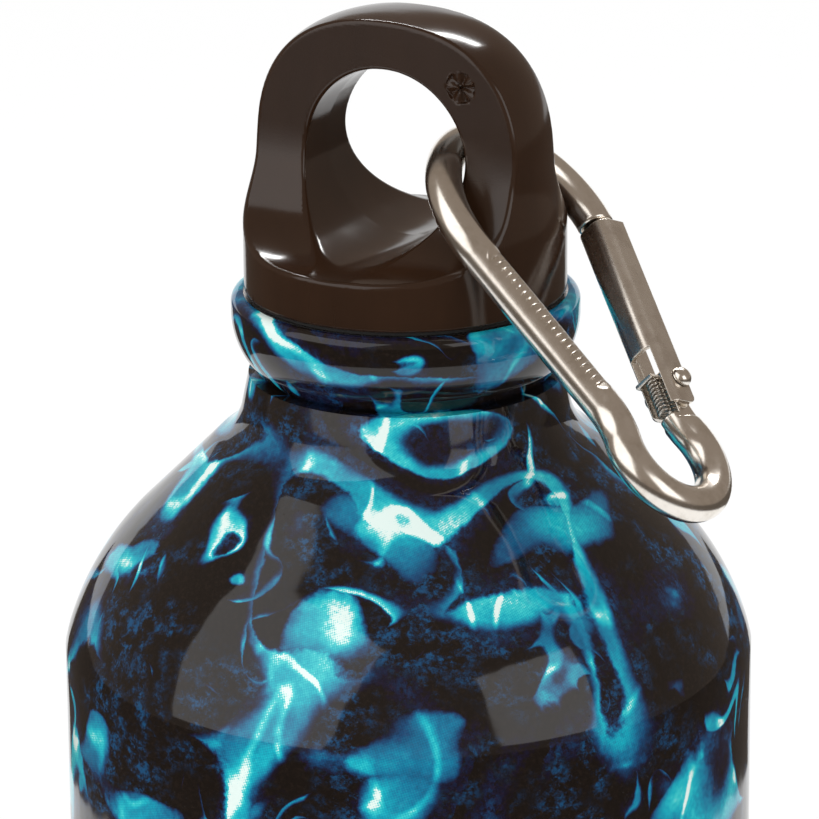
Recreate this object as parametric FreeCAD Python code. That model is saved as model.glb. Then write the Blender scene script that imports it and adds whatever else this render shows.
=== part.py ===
"""Rigid aluminium drinking bottle with a printed film skin, a screw-in loop cap and a snap hook.

Units are millimetres.  The bottle stands on z = 0 with its axis on Z.  The hole of the cap's loop
runs along Y, and the snap hook hangs from the loop's +X pillar.
"""
import FreeCAD, Part
import math
import os

from FreeCAD import Vector

os.makedirs("parts", exist_ok=True)

# ------------------------------------------------------------------ bottle
SEAT_HEIGHT = 182.0        # floor to the lower edge of the cap
BODY_RADIUS = 36.35        # bare metal; the film brings it to 36.5
WALL = 1.0                 # spun and drawn aluminium
HEEL_RADIUS = 5.0
FOOT_RING_WIDTH = 3.0
BASE_DOME_RISE = 6.0
DOME_FOOT_RISE = 1.6       # height of the short flank between the foot ring and the dome

# Neck: each drop is measured down from the cap's lower edge
BEAD_RADIUS = 18.15
BEAD_DROP = 0.5            # top of the rolled bead, which carries the gasket
BEAD_EDGE_RADIUS = 0.9
BEAD_LAND = 1.0            # straight stretch between the bead's edge and its belly
BEAD_BELLY_RADIUS = 8.5
GROOVE_RADIUS = 14.75
BORE_RADIUS = 13.6
COLLAR_DROP = 9.3          # flat top of the collar, just under the bead
COLLAR_TOP_RADIUS = 16.45
COLLAR_FOOT_RADIUS = 17.1
COLLAR_FOOT_DROP = 12.4
FLARE_RADIUS = 17.95       # middle of the flare between the collar and the cone
FLARE_DROP = 14.75
CONE_TOP_RADIUS = 20.1
CONE_TOP_DROP = 16.8
CONE_FOOT_RADIUS = 27.95
CONE_FOOT_DROP = 24.7
BELLY_MID_RADIUS = 32.6
BELLY_MID_DROP = 30.3
BELLY_FOOT_DROP = 37.6     # where the shoulder meets the straight wall
BELLY_FOOT_INSET = 0.35    # the wall stands this far outside the end of the shoulder's curve

# ------------------------------------------------------------------ printed film
FILM = 0.15
FILM_FOOT = 3.5            # the film stops this far above the floor
FILM_MOUTH_RADIUS = 17.0   # its upper edge, on top of the bead

# ------------------------------------------------------------------ screw thread
PITCH = 3.0
THREAD_ROOT = 1.2          # width of a ridge at its root
THREAD_CREST = 0.6
NECK_RIDGE = 0.75          # height of the ridge inside the neck
PLUG_RIDGE = 0.75
THREAD_GAP = 0.25          # radial clearance from crest to root
NECK_THREAD_TURNS = 2.0
PLUG_THREAD_TURNS = 1.75
NECK_THREAD_DROP = 8.6     # lowest turn of the neck's ridge
ROOT_BURIED = 0.3          # depth to which a ridge is let into its wall

# ------------------------------------------------------------------ loop cap
CAP_RADIUS = 16.9
SKIRT_RIM = 5.0            # height of the rim where the scoops end
SIDE_START = 7.0           # the side is straight up to here
ARCH_START = 14.0          # the arch's outline starts here
ARCH_RADIUS = 15.9
ARCH_LEAN = 1.7            # degrees that the side leans in there
CAP_HEIGHT = 29.5
ARCH_POWER = 2.5           # exponent of the outline's superellipse
ARCH_POINTS = 14
LOOP_HALF_THICKNESS = 4.3
SCOOP_RADIUS = 12.2
HOLE_RADIUS = 9.25         # at the parting plane
HOLE_CENTRE = 14.8
HOLE_DRAFT = 1.4           # degrees, opening towards both faces
LOOP_EDGE_ROUND = 0.4      # of the loop's flat faces
GATE_MARK_RADIUS = 1.05    # shallow round mark where the mould was filled
GATE_MARK_DEPTH = 0.35
GATE_MARK_X = 8.9
GATE_MARK_Z = 23.4
PLUG_WALL = 1.6
PLUG_DEPTH = 10.2
PLUG_CEILING = 2.0         # the plug is hollow up to here inside the cap
PLUG_CHAMFER = 0.6

# ------------------------------------------------------------------ gasket
GASKET_RADIUS = 16.4
GASKET_HEIGHT = 1.5
GASKET_GAP = 0.1           # to the plug inside it and the skirt around it

# ------------------------------------------------------------------ snap hook
WIRE = 3.8                 # diameter
EYE_ROOM = 4.7             # between the loop's flat faces and the inside of the big bend
BIG_BEND = LOOP_HALF_THICKNESS + EYE_ROOM + WIRE / 2   # centreline radii
SMALL_BEND = 6.0
SMALL_BEND_INSET = 2.55    # how far the legs would pass inside the small bend
RETURN_BEND = 7.7
BEND_SPACING = 29.0        # from the centre of the big bend to that of the small one
NOSE_RISE = 1.9            # the wire ends this far before the big bend meets the gate's line
FLAT_DEPTH = 0.45          # flat pressed along the back leg
FLAT_START = 0.8           # along the leg, from the big bend
FLAT_LENGTH = 18.4
RIB_COUNT = 22
RIB_LENGTH = 1.5
RIB_WIDTH = 0.28
RIB_HEIGHT = 0.18
RIB_MARGIN = 0.9           # plain flat left at either end of the ribs

GATE_WIDTH = 4.1           # along the rivet
GATE_DEPTH = 3.6
GATE_SHEET = 0.6
GATE_CORNER = 1.15         # outside radius of the sheet's two bends
GATE_WINDOW = 7.0          # the web stops this far short of the gate's lower end
GATE_OVERHANG = 3.0        # the gate runs this far past its rivet
GATE_SLIP = 0.2            # clearance of each side of the gate to what is inside it
NOSE_GAP = 0.35
NOSE_TONGUE = 3.4          # the wire's end that reaches into the gate
NOSE_TONGUE_DEPTH = 1.9
NOSE_TONGUE_ROOT = 1.2     # it starts this far inside the round wire

# The wire's other end is flattened to a tongue that the gate straddles
RIVET_TO_TANGENT = 9.1     # up the gate's line, from level with the small bend's centre
RIVET_OUT = 0.8            # outwards of the middle of the gate
RIVET_RADIUS = 0.6
RIVET_SLIP = 0.05
RIVET_HEAD_RADIUS = 1.1
RIVET_HEAD_HEIGHT = 0.95
RIVET_HEAD_GAP = 0.08
TONGUE_START = 4.6         # up the gate's line
TONGUE_TIP = 1.7           # it runs this far past the rivet
TONGUE_INNER = 0.3         # its inner face is this far inwards of the gate's line
SPRING_SEAT = 5.2          # step in the wire that carries the spring, up the gate's line
SPRING_RADIUS = 0.6        # centreline of the coils
SPRING_WIRE = 0.32
SPRING_TURNS = 9.0
SPRING_SIDE = 1.2          # its axis is this far inwards of the gate's line
SPRING_GAP = 0.02          # at either end
TAB_START = 9.7            # tab of the gate that the spring pushes on, up the gate's line
TAB_THICKNESS = 0.5
TAB_LENGTH = 1.5           # across the coil, outwards
TAB_REACH = 0.7            # past the coil's axis, along the rivet

# Pose of the hook as it hangs from the loop, in degrees
HANG_SLOPE = 42.5
HANG_TURN = -21.0
HANG_ROLL = 14.1
SWING_X = 7.0              # the hook swings about a line along Y, through its wire inside the loop
SWING_HEIGHT = 15.0        # above the cap's lower edge
# Centre of the big bend, on the plane that its wire lies on where it rests against the loop
HANG_REST = Vector(13.12186, -0.03598, SEAT_HEIGHT + 7.14138)

AXIS_Z = Vector(0, 0, 1)
ORIGIN = Vector(0, 0, 0)
SMALL = 1e-6


# ------------------------------------------------------------------ helpers
def at(radius, z):
    """A point of a section through the axis."""
    return Vector(radius, 0, z)


def below_seat(radius, drop):
    return at(radius, SEAT_HEIGHT - drop)


def line(start, end):
    return Part.LineSegment(start, end).toShape()


def arc(start, middle, end):
    return Part.Arc(start, middle, end).toShape()


def arc_about(centre, radius, start_deg, end_deg, x_dir, y_dir):
    """An arc by its centre and the angles of its ends, in the plane of two unit vectors."""
    def point(angle):
        turn = math.radians(angle)
        return centre + x_dir * (radius * math.cos(turn)) + y_dir * (radius * math.sin(turn))
    return arc(point(start_deg), point((start_deg + end_deg) / 2), point(end_deg))


def face_of(edges):
    return Part.Face(Part.Wire(Part.__sortEdges__(edges)))


def crosses_axis(curve):
    """Whether an arc would turn into a torus that cuts through itself; a sphere doesn't."""
    if not isinstance(curve, Part.Circle):
        return False
    return SMALL < abs(curve.Center.x) and curve.Center.x < curve.Radius


def revolved(face):
    """The solid that a section sweeps round the axis, with its widest arcs turned as splines."""
    edges = []
    for edge in face.OuterWire.OrderedEdges:
        curve = edge.Curve
        if crosses_axis(curve):
            edge = curve.toBSpline(edge.FirstParameter, edge.LastParameter).toShape()
        edges.append(edge)
    return face_of(edges).revolve(ORIGIN, AXIS_Z, 360)


def cylinder(radius, bottom, top):
    return Part.makeCylinder(radius, top - bottom, at(0, bottom))


def slab(x_range, y_range, z_range):
    """A box from three (low, high) pairs."""
    size = [high - low for low, high in (x_range, y_range, z_range)]
    return Part.makeBox(*size, Vector(x_range[0], y_range[0], z_range[0]))


def helical_ridge(radius, height, start_z, turns, root, crest):
    """A trapezoid ridge wound on a cylinder; a negative height points it inwards.

    Its flanks run on straight into the cylinder's wall, so none of its edges lies on the wall.
    """
    buried = -ROOT_BURIED if height > 0 else ROOT_BURIED
    half_root = root / 2 + ROOT_BURIED * (root - crest) / (2 * abs(height))
    corners = [
        Vector(radius + buried, 0, start_z - half_root),
        Vector(radius + height, 0, start_z - crest / 2),
        Vector(radius + height, 0, start_z + crest / 2),
        Vector(radius + buried, 0, start_z + half_root),
    ]
    profile = Part.makePolygon(corners + corners[:1])
    helix = Part.makeHelix(PITCH, PITCH * turns, radius)
    helix.translate(Vector(0, 0, start_z))
    ridge = Part.Wire(helix).makePipeShell([profile], True, True)
    return Part.Solid(ridge) if ridge.ShapeType != "Solid" else ridge


# ------------------------------------------------------------------ bottle and film
def body_outline():
    """Right half of the bottle's section below the neck, as a closed face up to the axis."""
    ring_outer = BODY_RADIUS - HEEL_RADIUS
    ring_inner = ring_outer - FOOT_RING_WIDTH
    dome_foot = at(ring_inner - DOME_FOOT_RISE, DOME_FOOT_RISE)
    dome_height = BASE_DOME_RISE - DOME_FOOT_RISE
    dome_radius = (dome_foot.x ** 2 + dome_height ** 2) / (2 * dome_height)
    dome_half = math.asin(dome_foot.x / dome_radius) / 2
    dome_mid = at(dome_radius * math.sin(dome_half),
                  BASE_DOME_RISE - dome_radius * (1 - math.cos(dome_half)))
    heel_mid_reach = HEEL_RADIUS * math.sin(math.radians(45))
    heel_centre = at(ring_outer, HEEL_RADIUS)
    collar_top = below_seat(COLLAR_TOP_RADIUS, COLLAR_DROP)
    collar_foot = below_seat(COLLAR_FOOT_RADIUS, COLLAR_FOOT_DROP)
    cone_top = below_seat(CONE_TOP_RADIUS, CONE_TOP_DROP)
    cone_foot = below_seat(CONE_FOOT_RADIUS, CONE_FOOT_DROP)
    flare_mid = below_seat(FLARE_RADIUS, FLARE_DROP)
    belly_mid = below_seat(BELLY_MID_RADIUS, BELLY_MID_DROP)
    belly_foot = below_seat(BODY_RADIUS - BELLY_FOOT_INSET, BELLY_FOOT_DROP)
    wall_top = below_seat(BODY_RADIUS, BELLY_FOOT_DROP + 4 * BELLY_FOOT_INSET)
    edges = [
        line(at(0, BASE_DOME_RISE), at(0, collar_top.z)),
        line(at(0, collar_top.z), collar_top),
        line(collar_top, collar_foot),
        arc(collar_foot, flare_mid, cone_top),
        line(cone_top, cone_foot),
        arc(cone_foot, belly_mid, belly_foot),
        line(belly_foot, wall_top),
        line(wall_top, at(BODY_RADIUS, HEEL_RADIUS)),
        arc(at(BODY_RADIUS, HEEL_RADIUS),
            heel_centre + at(heel_mid_reach, -heel_mid_reach),
            at(ring_outer, 0)),
        line(at(ring_outer, 0), at(ring_inner, 0)),
        line(at(ring_inner, 0), dome_foot),
        arc(dome_foot, dome_mid, at(0, BASE_DOME_RISE)),
    ]
    return face_of(edges)


def neck_outline():
    """Right half of the section of the neck and its rolled bead, solid to the axis."""
    top = SEAT_HEIGHT - BEAD_DROP
    edge_centre = at(BEAD_RADIUS - BEAD_EDGE_RADIUS, top - BEAD_EDGE_RADIUS)
    edge_reach = BEAD_EDGE_RADIUS * math.sin(math.radians(45))
    belly_centre = at(BEAD_RADIUS - BEAD_BELLY_RADIUS, edge_centre.z - BEAD_LAND)
    groove_angle = math.acos((GROOVE_RADIUS - belly_centre.x) / BEAD_BELLY_RADIUS)

    def belly(angle):
        return belly_centre + at(BEAD_BELLY_RADIUS * math.cos(angle), -BEAD_BELLY_RADIUS * math.sin(angle))

    bottom = SEAT_HEIGHT - COLLAR_DROP - 2 * WALL
    edges = [
        line(at(0, top), at(edge_centre.x, top)),
        arc(at(edge_centre.x, top), edge_centre + at(edge_reach, edge_reach), at(BEAD_RADIUS, edge_centre.z)),
        line(at(BEAD_RADIUS, edge_centre.z), belly(0)),
        arc(belly(0), belly(groove_angle / 2), belly(groove_angle)),
        line(belly(groove_angle), at(GROOVE_RADIUS, bottom)),
        line(at(GROOVE_RADIUS, bottom), at(0, bottom)),
        line(at(0, bottom), at(0, top)),
    ]
    return face_of(edges)


def both_halves(half):
    """The whole section, from its right half."""
    side = [edge for edge in half.OuterWire.Edges if edge.BoundBox.XMax > SMALL]
    return face_of(side + [edge.mirror(ORIGIN, Vector(1, 0, 0)) for edge in side])


def right_half(face):
    """The part of a section face that lies at x >= 0, ready to be revolved."""
    reach = 2 * BODY_RADIUS
    keep = slab((0, reach), (-1, 1), (-reach, SEAT_HEIGHT + reach))
    return face.common(keep).Faces[0]


def offset_section(half, distance):
    """A section grown (or shrunk) all round by a distance, without moving its axis."""
    grown = both_halves(half).makeOffset2D(distance)
    return right_half(grown)


def section_block(low, high):
    """A rectangle of the section between two of its points."""
    corners = [low, at(high.x, low.z), high, at(low.x, high.z), low]
    return Part.Face(Part.makePolygon(corners))


def bottle_shell():
    body = body_outline()
    outline = body.fuse(neck_outline()).removeSplitter().Faces[0]
    bore = section_block(below_seat(0, COLLAR_DROP + 2 * WALL), at(BORE_RADIUS, SEAT_HEIGHT))
    metal = outline.cut(offset_section(body, -WALL)).cut(bore)
    ridge = helical_ridge(BORE_RADIUS, -NECK_RIDGE, SEAT_HEIGHT - NECK_THREAD_DROP,
                          NECK_THREAD_TURNS, THREAD_ROOT, THREAD_CREST)
    return revolved(metal.Faces[0]).fuse(ridge)


def film_reach():
    """The stretch of the section that the film covers: from the heel up and over the bead."""
    outside = 2 * BODY_RADIUS
    above = SEAT_HEIGHT + WALL
    over_dome = BASE_DOME_RISE + 2 * WALL
    corners = [
        at(FILM_MOUTH_RADIUS, above),
        below_seat(FILM_MOUTH_RADIUS, BEAD_DROP + WALL),
        below_seat(BORE_RADIUS, BEAD_DROP + WALL),
        at(BORE_RADIUS, over_dome),
        at(BODY_RADIUS - HEEL_RADIUS, over_dome),
        at(BODY_RADIUS - HEEL_RADIUS, FILM_FOOT),
        at(outside, FILM_FOOT),
        at(outside, above),
    ]
    return Part.Face(Part.makePolygon(corners + corners[:1]))


def print_film():
    outline = body_outline().fuse(neck_outline()).removeSplitter().Faces[0]
    skin = offset_section(outline, FILM).cut(outline).common(film_reach())
    return revolved(skin.Faces[0])


# ------------------------------------------------------------------ loop cap
def cap_outline():
    """Right half of the cap's outline: skirt, tapered side and the crown of the arch."""
    z = SEAT_HEIGHT
    rise = CAP_HEIGHT - ARCH_START
    lean = math.radians(ARCH_LEAN)
    lean_in = at(-math.sin(lean), math.cos(lean))
    side = Part.BSplineCurve()
    side.interpolate(
        Points=[at(CAP_RADIUS, z + SIDE_START), at(ARCH_RADIUS, z + ARCH_START)],
        InitialTangent=at(0, 1), FinalTangent=lean_in)
    crown = []
    for step in range(ARCH_POINTS + 1):
        turn = math.radians(90 * step / ARCH_POINTS)
        crown.append(at(ARCH_RADIUS * math.cos(turn) ** (2 / ARCH_POWER) if step < ARCH_POINTS else 0,
                        z + ARCH_START + rise * math.sin(turn) ** (2 / ARCH_POWER)))
    arch = Part.BSplineCurve()
    arch.interpolate(Points=crown, InitialTangent=lean_in, FinalTangent=at(-1, 0))
    edges = [
        line(at(0, z), at(CAP_RADIUS, z)),
        line(at(CAP_RADIUS, z), at(CAP_RADIUS, z + SIDE_START)),
        side.toShape(),
        arch.toShape(),
        line(at(0, z + CAP_HEIGHT), at(0, z)),
    ]
    return face_of(edges)


def scoop(side):
    """What is cut away in front of (side -1) or behind (side +1) the loop."""
    wide = 2 * CAP_RADIUS
    start = Vector(-wide, side * LOOP_HALF_THICKNESS, SEAT_HEIGHT + SKIRT_RIM + SCOOP_RADIUS)
    foot = Vector(-wide, side * (LOOP_HALF_THICKNESS + SCOOP_RADIUS), SEAT_HEIGHT + SKIRT_RIM)
    reach = SCOOP_RADIUS * (1 - math.sin(math.radians(45)))
    middle = Vector(-wide, side * (LOOP_HALF_THICKNESS + reach), SEAT_HEIGHT + SKIRT_RIM + reach)
    outside = Vector(-wide, side * wide, foot.z)
    top = Vector(-wide, side * wide, SEAT_HEIGHT + 2 * CAP_HEIGHT)
    inner_top = Vector(-wide, start.y, top.z)
    edges = [arc(start, middle, foot), line(foot, outside), line(outside, top),
             line(top, inner_top), line(inner_top, start)]
    return face_of(edges).extrude(Vector(2 * wide, 0, 0))


def loop_hole():
    """Two cones that meet at the parting plane and open towards the faces."""
    length = CAP_RADIUS + 1
    mouth = HOLE_RADIUS + length * math.tan(math.radians(HOLE_DRAFT))
    centre = Vector(0, 0, SEAT_HEIGHT + HOLE_CENTRE)
    front = Part.makeCone(HOLE_RADIUS, mouth, length, centre, Vector(0, -1, 0))
    back = Part.makeCone(HOLE_RADIUS, mouth, length, centre, Vector(0, 1, 0))
    return front.fuse(back)


def loop_edges(shape):
    """The edges round the outside and the hole of the loop's two flat faces."""
    found = []
    for edge in shape.Edges:
        box = edge.BoundBox
        flat = box.YLength < SMALL and abs(abs(box.YMin) - LOOP_HALF_THICKNESS) < SMALL
        if flat and box.ZLength > SMALL:
            found.append(edge)
    return found


def loop_cap():
    z = SEAT_HEIGHT
    solid = revolved(cap_outline())
    solid = solid.cut(scoop(-1)).cut(scoop(1)).cut(loop_hole())
    solid = solid.makeFillet(LOOP_EDGE_ROUND, loop_edges(solid))
    mark = Part.makeCylinder(GATE_MARK_RADIUS, GATE_MARK_DEPTH,
                             Vector(GATE_MARK_X, -LOOP_HALF_THICKNESS, z + GATE_MARK_Z), Vector(0, 1, 0))
    solid = solid.cut(mark)

    core = BORE_RADIUS - NECK_RIDGE - THREAD_GAP
    ring_height = GASKET_HEIGHT - BEAD_DROP
    recess = cylinder(GASKET_RADIUS + GASKET_GAP, z, z + ring_height)
    solid = solid.cut(recess)
    plug = cylinder(core, z - PLUG_DEPTH, z + ring_height)
    plug = plug.makeChamfer(PLUG_CHAMFER, [edge for edge in plug.Edges
                                           if edge.BoundBox.ZMax < z - PLUG_DEPTH + SMALL])
    ridge_start = z - NECK_THREAD_DROP + PITCH / 2
    ridge = helical_ridge(core, PLUG_RIDGE, ridge_start, PLUG_THREAD_TURNS, THREAD_ROOT, THREAD_CREST)
    solid = solid.fuse(plug).fuse(ridge)
    hollow = cylinder(core - PLUG_WALL, z - PLUG_DEPTH, z + PLUG_CEILING)
    return solid.cut(hollow).removeSplitter()


def cap_gasket():
    core = BORE_RADIUS - NECK_RIDGE - THREAD_GAP
    bottom = SEAT_HEIGHT - BEAD_DROP
    ring = cylinder(GASKET_RADIUS, bottom, bottom + GASKET_HEIGHT)
    return ring.cut(cylinder(core + PLUG_RIDGE + GASKET_GAP, bottom, bottom + GASKET_HEIGHT))


# ------------------------------------------------------------------ snap hook
# In its own plane the hook lies with the big bend's centre at the origin, the small bend towards
# -U, the back leg at -V and the gate at +V.  N is the way its rivet runs.
U = Vector(1, 0, 0)
V = Vector(0, 1, 0)
N = Vector(0, 0, 1)
LEG_LEAN = math.asin((BIG_BEND - (SMALL_BEND - SMALL_BEND_INSET)) / BEND_SPACING)


def in_plane(u, v, n=0.0):
    return Vector(u, v, n)


def small_centre():
    return in_plane(-BEND_SPACING, 0)


def leg_frame(side):
    """Start of a leg on the big bend, its direction and its outward normal; side is -1 or +1."""
    angle = side * (math.pi / 2 + LEG_LEAN)
    outward = in_plane(math.cos(angle), math.sin(angle))
    along = in_plane(-math.cos(LEG_LEAN), -side * math.sin(LEG_LEAN))
    return outward * BIG_BEND, along, outward


def return_bend(side):
    """The reverse arc between a leg and the small bend: its ends, middle and the leg's length."""
    start, along, outward = leg_frame(side)
    foot = (small_centre() - start).dot(along)
    gap = SMALL_BEND - SMALL_BEND_INSET + RETURN_BEND
    back = math.sqrt((SMALL_BEND + RETURN_BEND) ** 2 - gap ** 2)
    leg_end = start + along * (foot - back)
    centre = leg_end + outward * RETURN_BEND
    join = centre + (small_centre() - centre).normalize() * RETURN_BEND
    middle_dir = ((leg_end + join) * 0.5 - centre).normalize()
    return leg_end, centre + middle_dir * RETURN_BEND, join


def wire_along(edges, radius):
    """A round wire swept along edges that follow on from each other."""
    path = Part.Wire(edges)
    start = path.OrderedEdges[0]
    first = start.valueAt(start.FirstParameter)
    tangent = start.tangentAt(start.FirstParameter)
    circle = Part.Wire(Part.makeCircle(radius, first, tangent))
    swept = path.makePipeShell([circle], True, False)
    return swept if swept.ShapeType == "Solid" else Part.Solid(swept)


def hook_path():
    nose_turn = 90 + math.degrees(LEG_LEAN) - math.degrees(NOSE_RISE / BIG_BEND)
    spine_turn = -(90 + math.degrees(LEG_LEAN))
    spine_start = leg_frame(-1)[0]
    back_end, back_mid, back_join = return_bend(-1)
    gate_end, gate_mid, gate_join = return_bend(1)
    far_end = small_centre() - U * SMALL_BEND
    return [
        arc_about(ORIGIN, BIG_BEND, nose_turn, spine_turn, U, V),
        line(spine_start, back_end),
        arc(back_end, back_mid, back_join),
        arc(back_join, far_end, gate_join),
        arc(gate_join, gate_mid, gate_end),
        line(gate_end, gate_point(RIVET_TO_TANGENT + TONGUE_TIP)),
    ]


def gate_point(along, outward=0.0, n=0.0):
    """A point by its distance up the gate's line from the small bend's end, and its offsets."""
    tip, direction, normal = leg_frame(1)
    foot = tip + direction * (small_centre() - tip).dot(direction)
    return foot - direction * along + normal * outward + N * n


def on_gate_line(shape):
    """Turn a shape built along +X (up the gate), +Y (outward) and Z onto the gate's line."""
    _, direction, normal = leg_frame(1)
    up = direction * -1
    foot = gate_point(0)
    matrix = FreeCAD.Matrix(up.x, normal.x, 0, foot.x,
                            up.y, normal.y, 0, foot.y,
                            0, 0, N.z * (up.x * normal.y - up.y * normal.x), 0,
                            0, 0, 0, 1)
    return shape.transformGeometry(matrix)


def gate_top():
    """How far up the gate's line its upper end is."""
    tip, direction, _ = leg_frame(1)
    return (small_centre() - tip).dot(direction) + NOSE_RISE - NOSE_GAP


def leg_flat():
    """The block that presses the flat into the back leg, with a row of short ribs left on it."""
    start, along, outward = leg_frame(-1)
    block = slab((FLAT_START, FLAT_START + FLAT_LENGTH), (-WIRE, WIRE), (-WIRE, -WIRE / 2 + FLAT_DEPTH))
    run = FLAT_LENGTH - 2 * RIB_MARGIN
    for index in range(RIB_COUNT):
        middle = FLAT_START + RIB_MARGIN + run * index / (RIB_COUNT - 1)
        rib = slab((middle - RIB_WIDTH / 2, middle + RIB_WIDTH / 2), (-RIB_LENGTH / 2, RIB_LENGTH / 2),
                   (-WIRE / 2 + FLAT_DEPTH - RIB_HEIGHT, 0))
        block = block.cut(rib)
    matrix = FreeCAD.Matrix(along.x, outward.x, 0, start.x,
                            along.y, outward.y, 0, start.y,
                            0, 0, 1, 0,
                            0, 0, 0, 1)
    return block.transformGeometry(matrix)


def tongue_waste():
    """What is pressed away from the end of the wire to leave the tongue and the spring's step."""
    reach = 2 * GATE_WIDTH
    tip = RIVET_TO_TANGENT + TONGUE_TIP + SMALL_BEND
    half = GATE_WIDTH / 2 - GATE_SHEET - GATE_SLIP
    near = slab((TONGUE_START, tip), (-WIRE, WIRE), (half, reach))
    far = slab((TONGUE_START, tip), (-WIRE, WIRE), (-reach, -half))
    inside = slab((SPRING_SEAT, tip), (-WIRE, -TONGUE_INNER), (-reach, reach))
    return on_gate_line(near.fuse(far).fuse(inside))


def nose_tongue():
    top = gate_top()
    half = GATE_WIDTH / 2 - GATE_SHEET - GATE_SLIP
    return on_gate_line(slab((top - NOSE_TONGUE, top + NOSE_TONGUE_ROOT),
                             (-NOSE_TONGUE_DEPTH / 2, NOSE_TONGUE_DEPTH / 2), (-half, half)))


def rivet_hole(radius):
    return Part.makeCylinder(radius, 2 * WIRE, gate_point(RIVET_TO_TANGENT, RIVET_OUT, -WIRE), N)


def hook_body():
    body = wire_along(hook_path(), WIRE / 2)
    body = body.cut(leg_flat()).cut(tongue_waste())
    return body.fuse(nose_tongue()).cut(rivet_hole(RIVET_RADIUS))


def channel(low, top, inset, corner):
    """A block along the gate's line, rounded on its inner side, this far inside the sheet."""
    half = GATE_WIDTH / 2 - inset
    block = slab((low, top), (-GATE_DEPTH / 2 + inset, GATE_DEPTH / 2 + inset), (-half, half))
    bends = [edge for edge in block.Edges if edge.BoundBox.XLength > 1 and edge.BoundBox.YMax < 0]
    return block.makeFillet(corner, bends)


def hook_gate():
    low = RIVET_TO_TANGENT - GATE_OVERHANG
    top = gate_top()
    half = GATE_WIDTH / 2
    outer = channel(low, top, 0, GATE_CORNER)
    inner = channel(low, top, GATE_SHEET, GATE_CORNER - GATE_SHEET)
    window = slab((low, low + GATE_WINDOW), (-GATE_DEPTH, -GATE_DEPTH / 2 + GATE_CORNER),
                  (-half + GATE_SHEET, half - GATE_SHEET))
    tab_inside = -SPRING_SIDE - TAB_LENGTH / 2
    tab = slab((TAB_START, TAB_START + TAB_THICKNESS), (tab_inside, tab_inside + TAB_LENGTH),
               (-TAB_REACH, half - GATE_SHEET / 2))
    shape = outer.cut(inner).cut(window).fuse(tab)
    return on_gate_line(shape).cut(rivet_hole(RIVET_RADIUS + RIVET_SLIP))


def gate_rivet():
    centre = gate_point(RIVET_TO_TANGENT, RIVET_OUT)
    reach = GATE_WIDTH / 2 + RIVET_HEAD_GAP
    shape = Part.makeCylinder(RIVET_RADIUS, 2 * reach, centre - N * reach, N)
    for side in (-1, 1):
        dome = Part.makeSphere(RIVET_HEAD_RADIUS, centre + N * (side * reach), N * side, 0, 90, 360)
        squash = FreeCAD.Matrix()
        squash.move(centre * -1 - N * (side * reach))
        squash.scale(1, 1, RIVET_HEAD_HEIGHT / RIVET_HEAD_RADIUS)
        squash.move(centre + N * (side * reach))
        shape = shape.fuse(dome.transformGeometry(squash))
    return shape


def gate_spring():
    space = TAB_START - SPRING_SEAT - 2 * SPRING_GAP - SPRING_WIRE
    helix = Part.makeHelix(space / SPRING_TURNS, space, SPRING_RADIUS)
    start = Vector(SPRING_RADIUS, 0, 0)
    edge = helix.Edges[0]
    tangent = edge.tangentAt(edge.FirstParameter)
    circle = Part.Wire(Part.makeCircle(SPRING_WIRE / 2, start, tangent))
    coil = Part.Wire(helix).makePipeShell([circle], True, True)
    coil = coil if coil.ShapeType == "Solid" else Part.Solid(coil)
    coil.rotate(ORIGIN, Vector(0, 1, 0), 90)
    coil.translate(Vector(SPRING_SEAT + SPRING_GAP + SPRING_WIRE / 2, -SPRING_SIDE, 0))
    return on_gate_line(coil)


def hook_pose():
    """Matrix that hangs the hook from the loop."""
    turn, slope, roll = (math.radians(angle) for angle in (HANG_TURN, HANG_SLOPE, HANG_ROLL))
    outward = Vector(math.cos(turn), math.sin(turn), 0)
    level = Vector(-math.sin(turn), math.cos(turn), 0)
    up = outward * -math.cos(slope) + AXIS_Z * math.sin(slope)
    square = up.cross(level)
    across = level * math.cos(roll) + square * math.sin(roll)
    normal = up.cross(across)
    centre = HANG_REST - normal * (WIRE / 2)
    return FreeCAD.Matrix(up.x, across.x, normal.x, centre.x,
                          up.y, across.y, normal.y, centre.y,
                          up.z, across.z, normal.z, centre.z,
                          0, 0, 0, 1)


# ------------------------------------------------------------------ build
def main():
    nodes = {
        "bottle_shell": bottle_shell(),
        "print_film": print_film(),
        "loop_cap": loop_cap(),
        "cap_gasket": cap_gasket(),
    }
    pose = hook_pose()
    for name, make in (("hook_body", hook_body), ("hook_gate", hook_gate),
                       ("gate_rivet", gate_rivet), ("gate_spring", gate_spring)):
        shape = make()
        shape.transformShape(pose)
        nodes[name] = shape
    for name, shape in nodes.items():
        solids = len(shape.Solids)
        print(f"{name}: {solids} solid, {shape.Volume:.1f} mm3, valid {shape.isValid()}")
        shape.exportStep(f"parts/{name}.step")
    normal = pose.multVec(N) - pose.multVec(ORIGIN)
    rivet = pose.multVec(gate_point(RIVET_TO_TANGENT, RIVET_OUT))
    print("hook swings about", Vector(SWING_X, 0, SEAT_HEIGHT + SWING_HEIGHT))
    print("gate turns about", rivet, "along", normal)


main()
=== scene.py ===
"""Aluminium drinking bottle with a printed film, a screw-in loop cap and a snap hook.

Sizes are in millimetres and become metres where a mesh is made.  The cap and neck are measured
from the seat, which is the lower edge of the cap, and the hook in its own plane: the big bend's
centre at the origin, the small bend towards -X, the back leg at -Y and the gate at +Y.
"""
import logging
import math
from dataclasses import dataclass, field
from enum import Enum
from typing import Callable, Sequence

import bpy
import numpy as np
from mathutils import Matrix, Vector


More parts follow.
